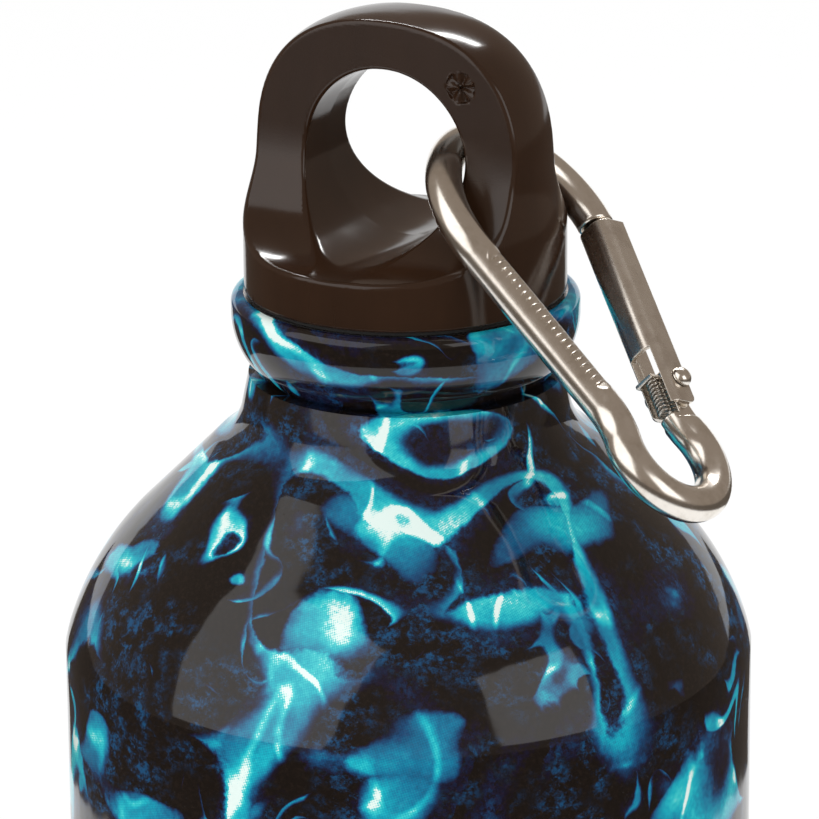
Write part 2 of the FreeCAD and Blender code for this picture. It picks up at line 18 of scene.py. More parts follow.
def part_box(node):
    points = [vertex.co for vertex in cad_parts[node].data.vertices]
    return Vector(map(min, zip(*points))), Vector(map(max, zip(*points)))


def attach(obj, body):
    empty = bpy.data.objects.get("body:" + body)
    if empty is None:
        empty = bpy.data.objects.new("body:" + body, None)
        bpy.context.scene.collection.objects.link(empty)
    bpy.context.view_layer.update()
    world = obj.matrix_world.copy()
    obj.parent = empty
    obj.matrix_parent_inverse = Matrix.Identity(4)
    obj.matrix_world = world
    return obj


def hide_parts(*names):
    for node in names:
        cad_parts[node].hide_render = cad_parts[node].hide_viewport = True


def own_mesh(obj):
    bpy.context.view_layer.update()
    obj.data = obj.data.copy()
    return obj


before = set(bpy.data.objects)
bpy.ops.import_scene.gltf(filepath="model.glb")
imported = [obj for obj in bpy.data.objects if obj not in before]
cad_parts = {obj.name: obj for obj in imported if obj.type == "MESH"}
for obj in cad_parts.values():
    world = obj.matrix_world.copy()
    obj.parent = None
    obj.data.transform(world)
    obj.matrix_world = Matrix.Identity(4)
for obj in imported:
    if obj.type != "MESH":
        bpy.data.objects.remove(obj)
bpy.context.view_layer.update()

MM = 0.001
# The loop's top above the seat, and the film's thickness.
CAP_HEIGHT = 29.5
FILM_THICKNESS = 0.15
# A radius that counts as none, and the angle past which an edge of a baked piece is a corner.
ON_AXIS = 1e-6
BAKED_SHARP = 40.0
log = logging.getLogger("bottle")

Points = np.ndarray
Distance = Callable[[Points], np.ndarray]
Colour = tuple[float, float, float]
Place = tuple[float, float, float]
Pair = tuple[float, float]


def top_of(node: str) -> float:
    """Height in millimetres of the top of a CAD node."""
    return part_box(node)[1].z / MM


# ------------------------------------------------------------------ meshes
def add_object(name: str, mesh: bpy.types.Mesh) -> bpy.types.Object:
    """Put a mesh in the scene.

    Args:
        name: The new object's name.
        mesh: Its mesh, already in place.

    Returns:
        The new object, at the origin.
    """
    piece = bpy.data.objects.new(name, mesh)
    bpy.context.scene.collection.objects.link(piece)
    return piece


def mesh_of(name: str, points: Points, faces: Sequence[Sequence[int]]) -> bpy.types.Mesh:
    """Make a smooth-shaded mesh.

    Args:
        name: The mesh's name.
        points: Corners in millimetres.
        faces: Rings of corner numbers, seen from outside anticlockwise.

    Returns:
        The mesh, in metres.
    """
    mesh = bpy.data.meshes.new(name)
    mesh.from_pydata((points * MM).tolist(), [], faces)
    mesh.shade_smooth()
    mesh.update()
    return mesh


def give_values(mesh: bpy.types.Mesh, name: str, values: np.ndarray) -> None:
    """Store one number for each corner of a mesh, for a material to read.

    Args:
        mesh: The mesh.
        name: The attribute's name.
        values: A number for each corner.
    """
    attribute = mesh.attributes.new(name, "FLOAT", "POINT")
    attribute.data.foreach_set("value", values.astype(np.float32))


@dataclass(frozen=True)
class Section:
    """A section through the axis, as (radius, height) points in order along its outline."""

    points: Points
    closed: bool = True

    def turned(self, name: str, segments: int, sharp: float = 35.0) -> bpy.types.Mesh:
        """Turn the section round the Z axis.

        Args:
            name: The mesh's name.
            segments: Steps of one full turn.
            sharp: Angle in degrees past which an edge is shaded as a corner.

        Returns:
            The turned mesh, in metres, with faces outwards if the section runs with its solid
            on the left.
        """
        count = len(self.points)
        angles = np.arange(segments) * (2 * math.pi / segments)
        radius, height = self.points[:, 0], self.points[:, 1]
        rings = np.stack([np.outer(np.cos(angles), radius), np.outer(np.sin(angles), radius),
                          np.tile(height, (segments, 1))], axis=-1).reshape(-1, 3)
        on_axis = radius < ON_AXIS
        number = np.arange(segments * count).reshape(segments, count)
        number[:, on_axis] = number[0, on_axis]
        steps = range(count) if self.closed else range(count - 1)
        faces = []
        for turn in range(segments):
            here, there = number[turn], number[(turn + 1) % segments]
            for step in steps:
                after = (step + 1) % count
                ring = [here[step], there[step], there[after], here[after]]
                ring = list(dict.fromkeys(int(corner) for corner in ring))
                if len(ring) > 2:
                    faces.append(ring)
        used = np.unique(number)
        renumber = np.zeros(segments * count, dtype=int)
        renumber[used] = np.arange(len(used))
        mesh = mesh_of(name, rings[used], [[int(renumber[c]) for c in ring] for ring in faces])
        mesh.set_sharp_from_angle(angle=math.radians(sharp))
        return mesh


class Outline:
    """Draws an open outline point by point in a plane."""

    def __init__(self, x: float, y: float) -> None:
        """Start at a point."""
        self.points: list[Pair] = [(x, y)]

    def line(self, x: float, y: float, steps: int = 1) -> "Outline":
        """Run straight to a point.

        Args:
            x: Its first coordinate.
            y: Its second coordinate.
            steps: How many pieces the run is cut into.

        Returns:
            The outline.
        """
        start = self.points[-1]
        for step in range(1, steps + 1):
            part = step / steps
            self.points.append((start[0] + (x - start[0]) * part,
                                start[1] + (y - start[1]) * part))
        return self

    def arc(self, middle: Pair, end: Pair, step: float = 3.0) -> "Outline":
        """Follow the arc through a middle point to an end.

        Args:
            middle: A point on the arc.
            end: Where it ends.
            step: Largest turn between two points, in degrees.

        Returns:
            The outline.
        """
        a, b, c = (complex(*point) for point in (self.points[-1], middle, end))
        centre = self._centre(a, b, c)
        first = math.atan2((a - centre).imag, (a - centre).real)
        through = math.atan2((b - centre).imag, (b - centre).real)
        last = math.atan2((c - centre).imag, (c - centre).real)
        span = (last - first) % (2 * math.pi)
        if (through - first) % (2 * math.pi) > span:
            span -= 2 * math.pi
        count = max(2, math.ceil(abs(math.degrees(span)) / step))
        radius = abs(a - centre)
        for index in range(1, count + 1):
            angle = first + span * index / count
            self.points.append((centre.real + radius * math.cos(angle),
                                centre.imag + radius * math.sin(angle)))
        return self

    @staticmethod
    def _centre(a: complex, b: complex, c: complex) -> complex:
        """Centre of the circle through three points.

        Args:
            a: The first point.
            b: The second point.
            c: The third point.

        Returns:
            The centre.
        """
        side, far = b - a, c - a
        cross = 2 * (side.real * far.imag - side.imag * far.real)
        x = (far.imag * abs(side) ** 2 - side.imag * abs(far) ** 2) / cross
        y = (side.real * abs(far) ** 2 - far.real * abs(side) ** 2) / cross
        return a + complex(x, y)

    def array(self) -> Points:
        """The points as rows."""
        return np.array(self.points)


def moved_out(points: Points, distance: float) -> Points:
    """Move an open outline sideways, to the right of the way it runs.

    Args:
        points: The outline.
        distance: How far; negative is to the left.

    Returns:
        The moved outline, mitred at its corners.
    """
    along = np.diff(points, axis=0)
    along /= np.linalg.norm(along, axis=1)[:, None]
    before, after = np.vstack([along[:1], along]), np.vstack([along, along[-1:]])
    right = np.stack([before[:, 1] + after[:, 1], -before[:, 0] - after[:, 0]], axis=1)
    right /= np.linalg.norm(right, axis=1)[:, None]
    square = right[:, 0] * after[:, 1] - right[:, 1] * after[:, 0]
    return points + right * (distance / np.maximum(square, 0.5))[:, None]


# ------------------------------------------------------------------ solids from distances
def rounded_both(a: np.ndarray, b: np.ndarray, radius: float) -> np.ndarray:
    """Distance to what two shapes share, with the edge between them rounded.

    Args:
        a: Distance to the first shape, negative inside.
        b: Distance to the second.
        radius: Radius of the edge.

    Returns:
        The distance to both.
    """
    outside = np.hypot(np.maximum(a + radius, 0), np.maximum(b + radius, 0))
    return np.minimum(-radius, np.maximum(a, b)) + outside


def rounded_without(a: np.ndarray, b: np.ndarray, radius: float) -> np.ndarray:
    """Distance to the first shape less the second, with the edge rounded."""
    return rounded_both(a, -b, radius)


@dataclass(frozen=True)
class Grid:
    """Turns the zero surface of a distance into a mesh of quads.

    The grid reaches past the solid's box by a margin in steps at each end.  The corners then
    settle on the surface in a few rounds, in each by a share of a step at most.
    """

    low: Place
    high: Place
    step: float
    margins: tuple[float, float] = (2.3, 3.0)
    rounds: int = 4
    stride: float = 0.4
    gentlest: float = 0.05
    probes: float = 20.0
    tiny: float = 1e-9

    def corners(self) -> tuple[Points, tuple[int, int, int]]:
        """Lay the grid out.

        Returns:
            All its points in rows, and how many there are along each side.
        """
        below, above = self.margins
        axes = [np.arange(low - below * self.step, high + above * self.step, self.step)
                for low, high in zip(self.low, self.high)]
        block = np.stack(np.meshgrid(*axes, indexing="ij"), axis=-1)
        return block.reshape(-1, 3), block.shape[:3]

    def slope(self, distance: Distance, points: Points) -> Points:
        """Gradient of a distance.

        Args:
            distance: The distance.
            points: Where to take it.

        Returns:
            The gradient at each point.
        """
        small = self.step / self.probes
        columns = []
        for axis in range(3):
            shift = np.zeros(3)
            shift[axis] = small
            columns.append((distance(points + shift) - distance(points - shift)) / (2 * small))
        return np.stack(columns, axis=1)

    def surface(self, distance: Distance) -> tuple[Points, np.ndarray, Points]:
        """Mesh the surface.

        Args:
            distance: Distance in millimetres of points to the solid, negative inside.

        Returns:
            The corners, the quads and the normal at each corner.
        """
        points, shape = self.corners()
        values = distance(points).reshape(shape)
        inside = values < 0
        cells = tuple(size - 1 for size in shape)
        total, crossings = np.zeros(cells + (3,)), np.zeros(cells)
        quads: list[tuple[int, np.ndarray, np.ndarray]] = []
        for axis in range(3):
            others = [other for other in range(3) if other != axis]
            start, end = self._ends(values, axis)
            cross = self._ends(inside, axis)[0] != self._ends(inside, axis)[1]
            where = np.argwhere(cross)
            part = start[cross] / (start[cross] - end[cross])
            place = where.astype(float)
            place[:, axis] += part
            for shift_a in (0, 1):
                for shift_b in (0, 1):
                    cell = where.copy()
                    cell[:, others[0]] -= shift_a
                    cell[:, others[1]] -= shift_b
                    ok = ((cell >= 0) & (cell < np.array(cells))).all(axis=1)
                    index = tuple(cell[ok].T)
                    np.add.at(total, index, place[ok])
                    np.add.at(crossings, index, 1)
            quads.append((axis, where, start[cross] < 0))
        active = crossings > 0
        number = np.full(cells, -1)
        number[active] = np.arange(int(active.sum()))
        origin = points[0]
        corners = origin + self.step * total[active] / crossings[active][:, None]
        faces = np.concatenate([self._faces(number, *entry) for entry in quads])
        for _ in range(self.rounds):
            slope = self.slope(distance, corners)
            length = np.maximum((slope ** 2).sum(axis=1), self.gentlest)
            move = slope * (distance(corners) / length)[:, None]
            reach = np.linalg.norm(move, axis=1)
            move *= np.minimum(1, self.stride * self.step / np.maximum(reach, self.tiny))[:, None]
            corners = corners - move
        slope = self.slope(distance, corners)
        normals = slope / np.maximum(np.linalg.norm(slope, axis=1), self.tiny)[:, None]
        return corners, faces, normals

    @staticmethod
    def _ends(values: np.ndarray, axis: int) -> tuple[np.ndarray, np.ndarray]:
        """Both ends of every grid edge along an axis.

        Args:
            values: A value at each of the grid's points.
            axis: The axis.

        Returns:
            The values at the edges' starts and at their ends.
        """
        first, last = [slice(None)] * 3, [slice(None)] * 3
        first[axis], last[axis] = slice(None, -1), slice(1, None)
        return values[tuple(first)], values[tuple(last)]

    @staticmethod
    def _faces(number: np.ndarray, axis: int, where: np.ndarray,
               starts_inside: np.ndarray) -> np.ndarray:
        """Quads round the grid edges along one axis that the surface crosses.

        Args:
            number: The corner's number in each cell.
            axis: The axis.
            where: Rows of the edges' places in the grid.
            starts_inside: Whether each edge starts inside the solid.

        Returns:
            Rows of four corner numbers.
        """
        a, b = [(1, 2), (2, 0), (0, 1)][axis]
        rings = []
        for shift_a, shift_b in ((1, 1), (0, 1), (0, 0), (1, 0)):
            cell = where.copy()
            cell[:, a] -= shift_a
            cell[:, b] -= shift_b
            rings.append(number[tuple(cell.T)])
        quads = np.stack(rings, axis=1)
        quads[~starts_inside] = quads[~starts_inside][:, ::-1]
        return quads

    def mesh(self, name: str, distance: Distance, place: Matrix) -> bpy.types.Mesh:
        """Mesh the surface and set it in place.

        Args:
            name: The mesh's name.
            distance: Distance of points to the solid.
            place: Where the solid's own axes lie, in millimetres.

        Returns:
            The mesh, in metres, shaded with the solid's true normals.
        """
        corners, faces, normals = self.surface(distance)
        turn = np.array(place.to_3x3())
        corners = corners @ turn.T + np.array(place.translation)
        mesh = mesh_of(name, corners, faces.tolist())
        mesh.normals_split_custom_set_from_vertices((normals @ turn.T).tolist())
        return mesh


# ------------------------------------------------------------------ node trees
Feed = bpy.types.NodeSocket | float | int | bool | tuple | None


@dataclass
class Tree:
    """Adds nodes to a shader or geometry tree and joins them up."""

    tree: bpy.types.NodeTree

    def node(self, kind: str, **settings: object) -> bpy.types.Node:
        """Add a node.

        Args:
            kind: Its type.
            **settings: Its own properties.

        Returns:
            The node.
        """
        node = self.tree.nodes.new(kind)
        for name, value in settings.items():
            setattr(node, name, value)
        return node

    def feed(self, socket: bpy.types.NodeSocket, value: Feed) -> None:
        """Link a socket to another, or set its value.

        Args:
            socket: The socket to feed.
            value: Another socket, a plain value, or None to leave it be.
        """
        if isinstance(value, bpy.types.NodeSocket):
            self.tree.links.new(value, socket)
        elif value is not None:
            socket.default_value = value

    def made(self, kind: str, inputs: dict[str | int, Feed], **settings: object) -> bpy.types.Node:
        """Add a node and feed its inputs.

        Args:
            kind: Its type.
            inputs: What to feed, by the input's name or number.
            **settings: Its own properties.

        Returns:
            The node.
        """
        node = self.node(kind, **settings)
        for key, value in inputs.items():
            self.feed(node.inputs[key], value)
        return node

    def out(self, kind: str, inputs: dict[str | int, Feed],
            **settings: object) -> bpy.types.NodeSocket:
        """The first output of a node that is added and fed."""
        return self.made(kind, inputs, **settings).outputs[0]


ORIGIN: Place = (0.0, 0.0, 0.0)
EVEN: Place = (1.0, 1.0, 1.0)


@dataclass(frozen=True)
class Cloud:
    """A kind of noise.

    The size is that of its features in millimetres, the detail how many finer layers it has, the
    roughness how strong they are, and the twist how much it is pulled about.
    """

    size: float
    detail: float = 2.0
    rough: float = 0.5
    twist: float = 0.0


@dataclass(frozen=True)
class Levels:
    """Numbers spread by a noise, from the least one upwards."""

    cloud: Cloud
    spread: float
    least: float


@dataclass(frozen=True)
class Patches:
    """Where a layer shows: not at all below a noise's low level, and fully above its high one."""

    cloud: Cloud
    low: float
    high: float
    shift: Place = ORIGIN
    stretch: Place = EVEN


@dataclass
class Shader(Tree):
    """A material's tree, with patterns measured in millimetres on the object."""

    def math(self, operation: str, a: Feed, b: Feed = None,
             c: Feed = None) -> bpy.types.NodeSocket:
        """A sum or other operation on numbers."""
        return self.out("ShaderNodeMath", {0: a, 1: b, 2: c}, operation=operation)

    def vector(self, operation: str, a: Feed, b: Feed = None,
               scale: Feed = None) -> bpy.types.NodeSocket:
        """An operation on vectors."""
        return self.out("ShaderNodeVectorMath", {0: a, 1: b, 3: scale}, operation=operation)

    def place(self, shift: Place = ORIGIN, stretch: Place = EVEN) -> bpy.types.NodeSocket:
        """A point's place on the object in millimetres.

        Args:
            shift: Moves the pattern.
            stretch: Squeezes it along each axis.

        Returns:
            The vector socket.
        """
        source = self.node("ShaderNodeTexCoord").outputs["Object"]
        scale = tuple(value / MM for value in stretch)
        inputs = {"Vector": source, "Location": tuple(shift), "Scale": scale}
        return self.out("ShaderNodeMapping", inputs)

    def noise(self, where: Feed, cloud: Cloud, colour: bool = False) -> bpy.types.NodeSocket:
        """Cloudy noise.

        Args:
            where: The place, in millimetres.
            cloud: What kind of noise.
            colour: Whether to give three independent numbers.

        Returns:
            Its value, from 0 to 1, or its colour.
        """
        node = self.made("ShaderNodeTexNoise", {
            "Vector": where, "Scale": 1 / cloud.size, "Detail": cloud.detail,
            "Roughness": cloud.rough, "Distortion": cloud.twist})
        return node.outputs["Color" if colour else "Fac"]

    def levels(self, levels: Levels) -> bpy.types.NodeSocket:
        """Numbers spread by a noise."""
        noise = self.noise(self.place(), levels.cloud)
        return self.math("MULTIPLY_ADD", noise, levels.spread, levels.least)

    def patches(self, patches: Patches) -> bpy.types.NodeSocket:
        """Where a layer shows, from 0 to 1."""
        where = self.place(patches.shift, patches.stretch)
        return self.step(self.noise(where, patches.cloud), patches.low, patches.high)

    def step(self, value: Feed, low: float, high: float) -> bpy.types.NodeSocket:
        """A smooth step from 0 at the low value to 1 at the high one."""
        limits = {"Value": value, "From Min": low, "From Max": high}
        return self.out("ShaderNodeMapRange", limits, interpolation_type="SMOOTHSTEP")

    def ramp(self, value: Feed, stops: Sequence[tuple[float, Colour]]) -> bpy.types.NodeSocket:
        """Colours along a value.

        Args:
            value: From 0 to 1.
            stops: Positions and their colours.

        Returns:
            The colour.
        """
        node = self.made("ShaderNodeValToRGB", {0: value})
        elements = node.color_ramp.elements
        while len(elements) < len(stops):
            elements.new(0.5)
        for element, (position, colour) in zip(elements, stops):
            element.position = position
            element.color = (*colour, 1)
        return node.outputs[0]

    def level_ramp(self, value: Feed, stops: Sequence[Pair]) -> bpy.types.NodeSocket:
        """Levels along a value, as a grey colour."""
        return self.ramp(value, [(position, (level, level, level)) for position, level in stops])

    def mix(self, share: Feed, a: Feed, b: Feed, blend: str = "MIX") -> bpy.types.NodeSocket:
        """Mix two colours.

        Args:
            share: How much of the second one shows.
            a: The first colour.
            b: The second colour.
            blend: How they mix.

        Returns:
            The colour.
        """
        a, b = ((*c, 1) if isinstance(c, tuple) and len(c) == 3 else c for c in (a, b))
        node = self.node("ShaderNodeMix", data_type="RGBA", blend_type=blend, clamp_result=False)
        for number, value in ((0, share), (6, a), (7, b)):
            self.feed(node.inputs[number], value)
        return node.outputs[2]

    def bump(self, height: Feed, depth: float, under: Feed = None) -> bpy.types.NodeSocket:
        """Turn heights into a normal.

        Args:
            height: From 0 to 1.
            depth: How many millimetres 1 stands for.
            under: Another bump's normal.

        Returns:
            The normal.
        """
        inputs = {"Height": height, "Distance": depth * MM, "Normal": under}
        return self.out("ShaderNodeBump", inputs)


@dataclass(frozen=True)
class Finish:
    """A material: how it is built is up to each kind."""

    name: str
    slot: str

    def colour(self, shader: Shader) -> Feed:
        """Base colour."""
        raise NotImplementedError

    def roughness(self, shader: Shader) -> Feed:
        """Roughness."""
        raise NotImplementedError

    def normal(self, shader: Shader) -> Feed:
        """Fine relief."""
        raise NotImplementedError

    def fixed(self) -> dict[str, float]:
        """Numbers that are the same all over, set on the shader's own sockets."""
        return {}

    def material(self) -> bpy.types.Material:
        """The material itself, made once.

        Returns:
            The material, with all its nodes.
        """
        known = bpy.data.materials.get(self.name)
        if known:
            return known
        material = bpy.data.materials.new(self.name)
        material.use_nodes = True
        shader = Shader(material.node_tree)
        surface = material.node_tree.nodes["Principled BSDF"]
        for name, value in self.fixed().items():
            surface.inputs[name].default_value = value
        shader.feed(surface.inputs["Base Color"], self.colour(shader))
        shader.feed(surface.inputs["Roughness"], self.roughness(shader))
        shader.feed(surface.inputs["Normal"], self.normal(shader))
        return material


@dataclass(frozen=True)
class Drift:
    """A slow noise pulled about by a slower one.

    The size is that of its features and the pull how far they are pulled, both in millimetres.
    """

    size: float
    pull: float
    shift: Place
    stretch: Place = EVEN
    detail: float = 0.5
    rough: float = 0.4
    slower: float = 1.3
    slower_detail: float = 1.2
    slower_rough: float = 0.45


@dataclass(frozen=True)
class Strokes:
    """A family of brush-like bands of light.

    They follow a drift, of which one swing holds a nest of them side by side, and their crisp edge
    is so many times steeper than the soft one.  The cover says where they are broad.
    """

    drift: Drift
    nested: float
    crisp: float
    cover: Patches


@dataclass(frozen=True)
class PrintedFilm(Finish):
    """Glossy shrunk film printed with light that drifts through dark water."""

    name: str = "printed_film"
    slot: str = "film"
    ground: Colour = (0.0082, 0.0054, 0.0041)
    speck: Colour = (0.019, 0.012, 0.009)
    deep: Colour = (0.0, 0.014, 0.040)
    blue: Colour = (0.0, 0.062, 0.160)
    teal: Colour = (0.0, 0.185, 0.330)
    turquoise: Colour = (0.0, 0.400, 0.510)
    mint: Colour = (0.060, 0.640, 0.640)
    white: Colour = (0.800, 0.930, 0.880)
    broad: Strokes = Strokes(Drift(27.0, 51.3, (-41.0, 12.0, 37.0)), 5.0, 3.0,
                             Patches(Cloud(20.0, 1.5), 0.36, 0.66, (31.0, 22.0, 64.0)))
    thin: Strokes = Strokes(Drift(12.0, 22.8, (51.0, 9.0, -28.0)), 6.0, 2.2,
                            Patches(Cloud(9.0, 1.5), 0.45, 0.70, (7.0, -61.0, 33.0)))
    thin_light: float = 0.8
    ragged: Levels = Levels(Cloud(1.7, 4.0, 0.7), 0.030, -0.015)
    ridge: float = 0.4
    edge_slope: float = 2.2
    core: float = 0.60
    halo_slope: float = 0.42
    halo: float = 1.1
    halo_light: float = 0.42
    halo_speck: Patches = Patches(Cloud(0.8, 4.0, 0.8), 0.30, 0.66)
    crease: Drift = Drift(8.0, 14.0, (17.0, 44.0, 2.0), (1.0, 1.0, 0.6))
    crease_width: float = 0.075
    crease_fall: float = -0.55
    crease_light: float = 1.30
    pool: Drift = Drift(14.0, 22.0, (5.0, 84.0, -12.0), (1.0, 1.0, 1.25))
    pool_rim: Levels = Levels(Cloud(1.5, 4.0, 0.7), 0.05, -0.025)
    pool_light: tuple[Pair, ...] = ((0.0, 0.0), (0.635, 0.0), (0.665, 0.50), (0.71, 0.78),
                                    (0.77, 1.0))
    haze: Patches = Patches(Cloud(15.0, 3.0, 0.6, 0.8), 0.42, 0.60, (40.0, 8.0, 3.0))
    dabs: Patches = Patches(Cloud(2.3, 4.0, 0.72), 0.44, 0.62, stretch=(1.0, 1.0, 1.3))
    haze_speck: Patches = Patches(Cloud(0.6, 4.0, 0.8), 0.34, 0.62)
    ground_speck: Patches = Patches(Cloud(0.5, 3.0, 0.8), 0.45, 0.80)
    wash: Cloud = Cloud(8.0)
    wash_shift: Place = (3.0, 2.0, 1.0)
    wash_light: float = 1.5
    grain: Cloud = Cloud(0.55, 4.0, 0.8)
    grain_light: tuple[float, float] = (0.8, 0.60)
    dot: float = 0.36
    dot_turn: float = 27.0
    dot_light: float = 0.22
    strength: float = 0.98
    gloss: Levels = Levels(Cloud(6.0, 4.0, 0.6), 0.07, 0.03)
    shrink: Cloud = Cloud(3.2, 1.0)
    shrink_stretch: Place = (1.0, 1.0, 0.35)
    shrink_depth: float = 0.035
    dust: Patches = Patches(Cloud(0.28, 2.0, 0.6), 0.70, 0.78)
    dust_depth: float = 0.006

    def water(self, shader: Shader, drift: Drift) -> bpy.types.NodeSocket:
        """Slow noise pulled about by slower noise.

        Args:
            shader: The tree.
            drift: The kind of drift.

        Returns:
            Its value, from 0 to 1.
        """
        place = shader.place(drift.shift, drift.stretch)
        swirl = Cloud(drift.size * drift.slower, drift.slower_detail, drift.slower_rough)
        slower = shader.noise(place, swirl, colour=True)
        offset = shader.vector("SUBTRACT", slower, (0.5, 0.5, 0.5))
        pulled = shader.vector("ADD", place, shader.vector("SCALE", offset, scale=drift.pull))
        return shader.noise(pulled, Cloud(drift.size, drift.detail, drift.rough))

    def folds(self, shader: Shader) -> bpy.types.NodeSocket:
        """Thin bright creases inside the bands.

        Args:
            shader: The tree.

        Returns:
            How many times brighter the light is.
        """
        swing = self.water(shader, self.crease)
        away = shader.math("ABSOLUTE", shader.math("SUBTRACT", swing, 0.5))
        dark = shader.step(away, 0.0, self.crease_width)
        return shader.math("MULTIPLY_ADD", dark, self.crease_fall, self.crease_light)

    def strokes(self, shader: Shader, family: Strokes) -> bpy.types.NodeSocket:
        """Bands that taper to nothing, each with one crisp edge and a speckled halo.

        Args:
            shader: The tree.
            family: The kind of bands.

        Returns:
            The light in them, from 0 to 1.
        """
        cover = shader.patches(family.cover)
        ragged = shader.levels(self.ragged)
        swing = shader.math("ADD", self.water(shader, family.drift), ragged)
        nest = shader.math("FRACT", shader.math("MULTIPLY", swing, family.nested))
        across = shader.math("SUBTRACT", nest, self.ridge)
        away = shader.math("MAXIMUM", shader.math("MULTIPLY", across, self.edge_slope),
                           shader.math("MULTIPLY", across, -self.edge_slope * family.crisp))
        core = shader.step(shader.math("SUBTRACT", cover, away), 0.0, self.core)
        speck = shader.patches(self.halo_speck)
        fall = shader.math("MULTIPLY_ADD", away, -self.halo_slope, cover)
        halo = shader.step(fall, 0.0, self.halo)
        faint = shader.math("MULTIPLY", halo, shader.math("MULTIPLY", speck, self.halo_light))
        return shader.math("MAXIMUM", core, faint)

    def pools(self, shader: Shader) -> bpy.types.NodeSocket:
        """A few broad pools of light with bright middles.

        Args:
            shader: The tree.

        Returns:
            The light in them, from 0 to 1.
        """
        rim = shader.levels(self.pool_rim)
        depth = shader.math("ADD", self.water(shader, self.pool), rim)
        return shader.level_ramp(depth, self.pool_light)

    def clouds(self, shader: Shader) -> bpy.types.NodeSocket:
        """Dabbed and speckled blue haze.

        Args:
            shader: The tree.

        Returns:
            The haze, from 0 to 1.
        """
        layers = (self.haze, self.dabs, self.haze_speck)
        haze, dabs, speck = (shader.patches(layer) for layer in layers)
        return shader.math("MULTIPLY", shader.math("MULTIPLY", haze, dabs), speck)

    def dots(self, shader: Shader) -> bpy.types.NodeSocket:
        """The printer's dot screen.

        Args:
            shader: The tree.

        Returns:
            The dots, from 0 to 1.
        """
        flat = shader.node("ShaderNodeUVMap", uv_map="print").outputs[0]
        waves_per_mm = 2 * math.pi / self.dot
        turned = shader.made("ShaderNodeMapping", {
            "Vector": flat, "Rotation": (0, 0, math.radians(self.dot_turn)),
            "Scale": (waves_per_mm, waves_per_mm, 1)})
        split = shader.made("ShaderNodeSeparateXYZ", {0: turned.outputs[0]})
        waves = [shader.math("SINE", split.outputs[axis]) for axis in (0, 1)]
        return shader.math("MULTIPLY_ADD", shader.math("MULTIPLY", *waves), 0.5, 0.5)

    def light(self, shader: Shader) -> bpy.types.NodeSocket:
        """All the bands and pools, grained and screened.

        Args:
            shader: The tree.

        Returns:
            The light, from 0 to about 1.
        """
        broad = self.strokes(shader, self.broad)
        thin = self.strokes(shader, self.thin)
        light = shader.math("MAXIMUM", broad, shader.math("MULTIPLY", thin, self.thin_light))
        light = shader.math("MAXIMUM", light, self.pools(shader))
        light = shader.math("MULTIPLY", light, self.folds(shader))
        for place, cloud, spread, least in (
                (self.wash_shift, self.wash, self.wash_light, 0.0),
                (ORIGIN, self.grain, *self.grain_light)):
            noise = shader.noise(shader.place(place), cloud)
            level = shader.math("MULTIPLY_ADD", noise, spread, least)
            light = shader.math("MULTIPLY", light, level)
        printed = self.dots(shader)
        screen = shader.math("MULTIPLY", printed, shader.math("MULTIPLY", light, self.dot_light))
        return shader.math("MULTIPLY", shader.math("ADD", light, screen), self.strength)

    def colour(self, shader: Shader) -> Feed:
        """Dark ground, blue haze, then bands and pools of light.

        Args:
            shader: The tree.

        Returns:
            The colour.
        """
        black = (0.0, 0.0, 0.0)
        ground = shader.mix(shader.patches(self.ground_speck), self.ground, self.speck)
        haze = shader.ramp(self.clouds(shader), ((0.0, black), (0.3, self.deep), (0.8, self.blue)))
        ground = shader.mix(1.0, ground, haze, "ADD")
        tint = shader.ramp(self.light(shader), (
            (0.0, black), (0.09, self.deep), (0.22, self.blue), (0.40, self.teal),
            (0.62, self.turquoise), (0.86, self.mint), (1.0, self.white)))
        return shader.mix(1.0, ground, tint, "LIGHTEN")

    def roughness(self, shader: Shader) -> Feed:
        """High gloss, slightly dulled in patches."""
        return shader.levels(self.gloss)

    def normal(self, shader: Shader) -> Feed:
        """Faint waves where the film shrank, and fine dust under it.

        Args:
            shader: The tree.

        Returns:
            The normal.
        """
        waves = shader.noise(shader.place(stretch=self.shrink_stretch), self.shrink)
        dust = shader.patches(self.dust)
        return shader.bump(dust, self.dust_depth, shader.bump(waves, self.shrink_depth))

    def fixed(self) -> dict[str, float]:
        """A clear plastic surface."""
        return {"IOR": 1.5, "Specular IOR Level": 0.5}


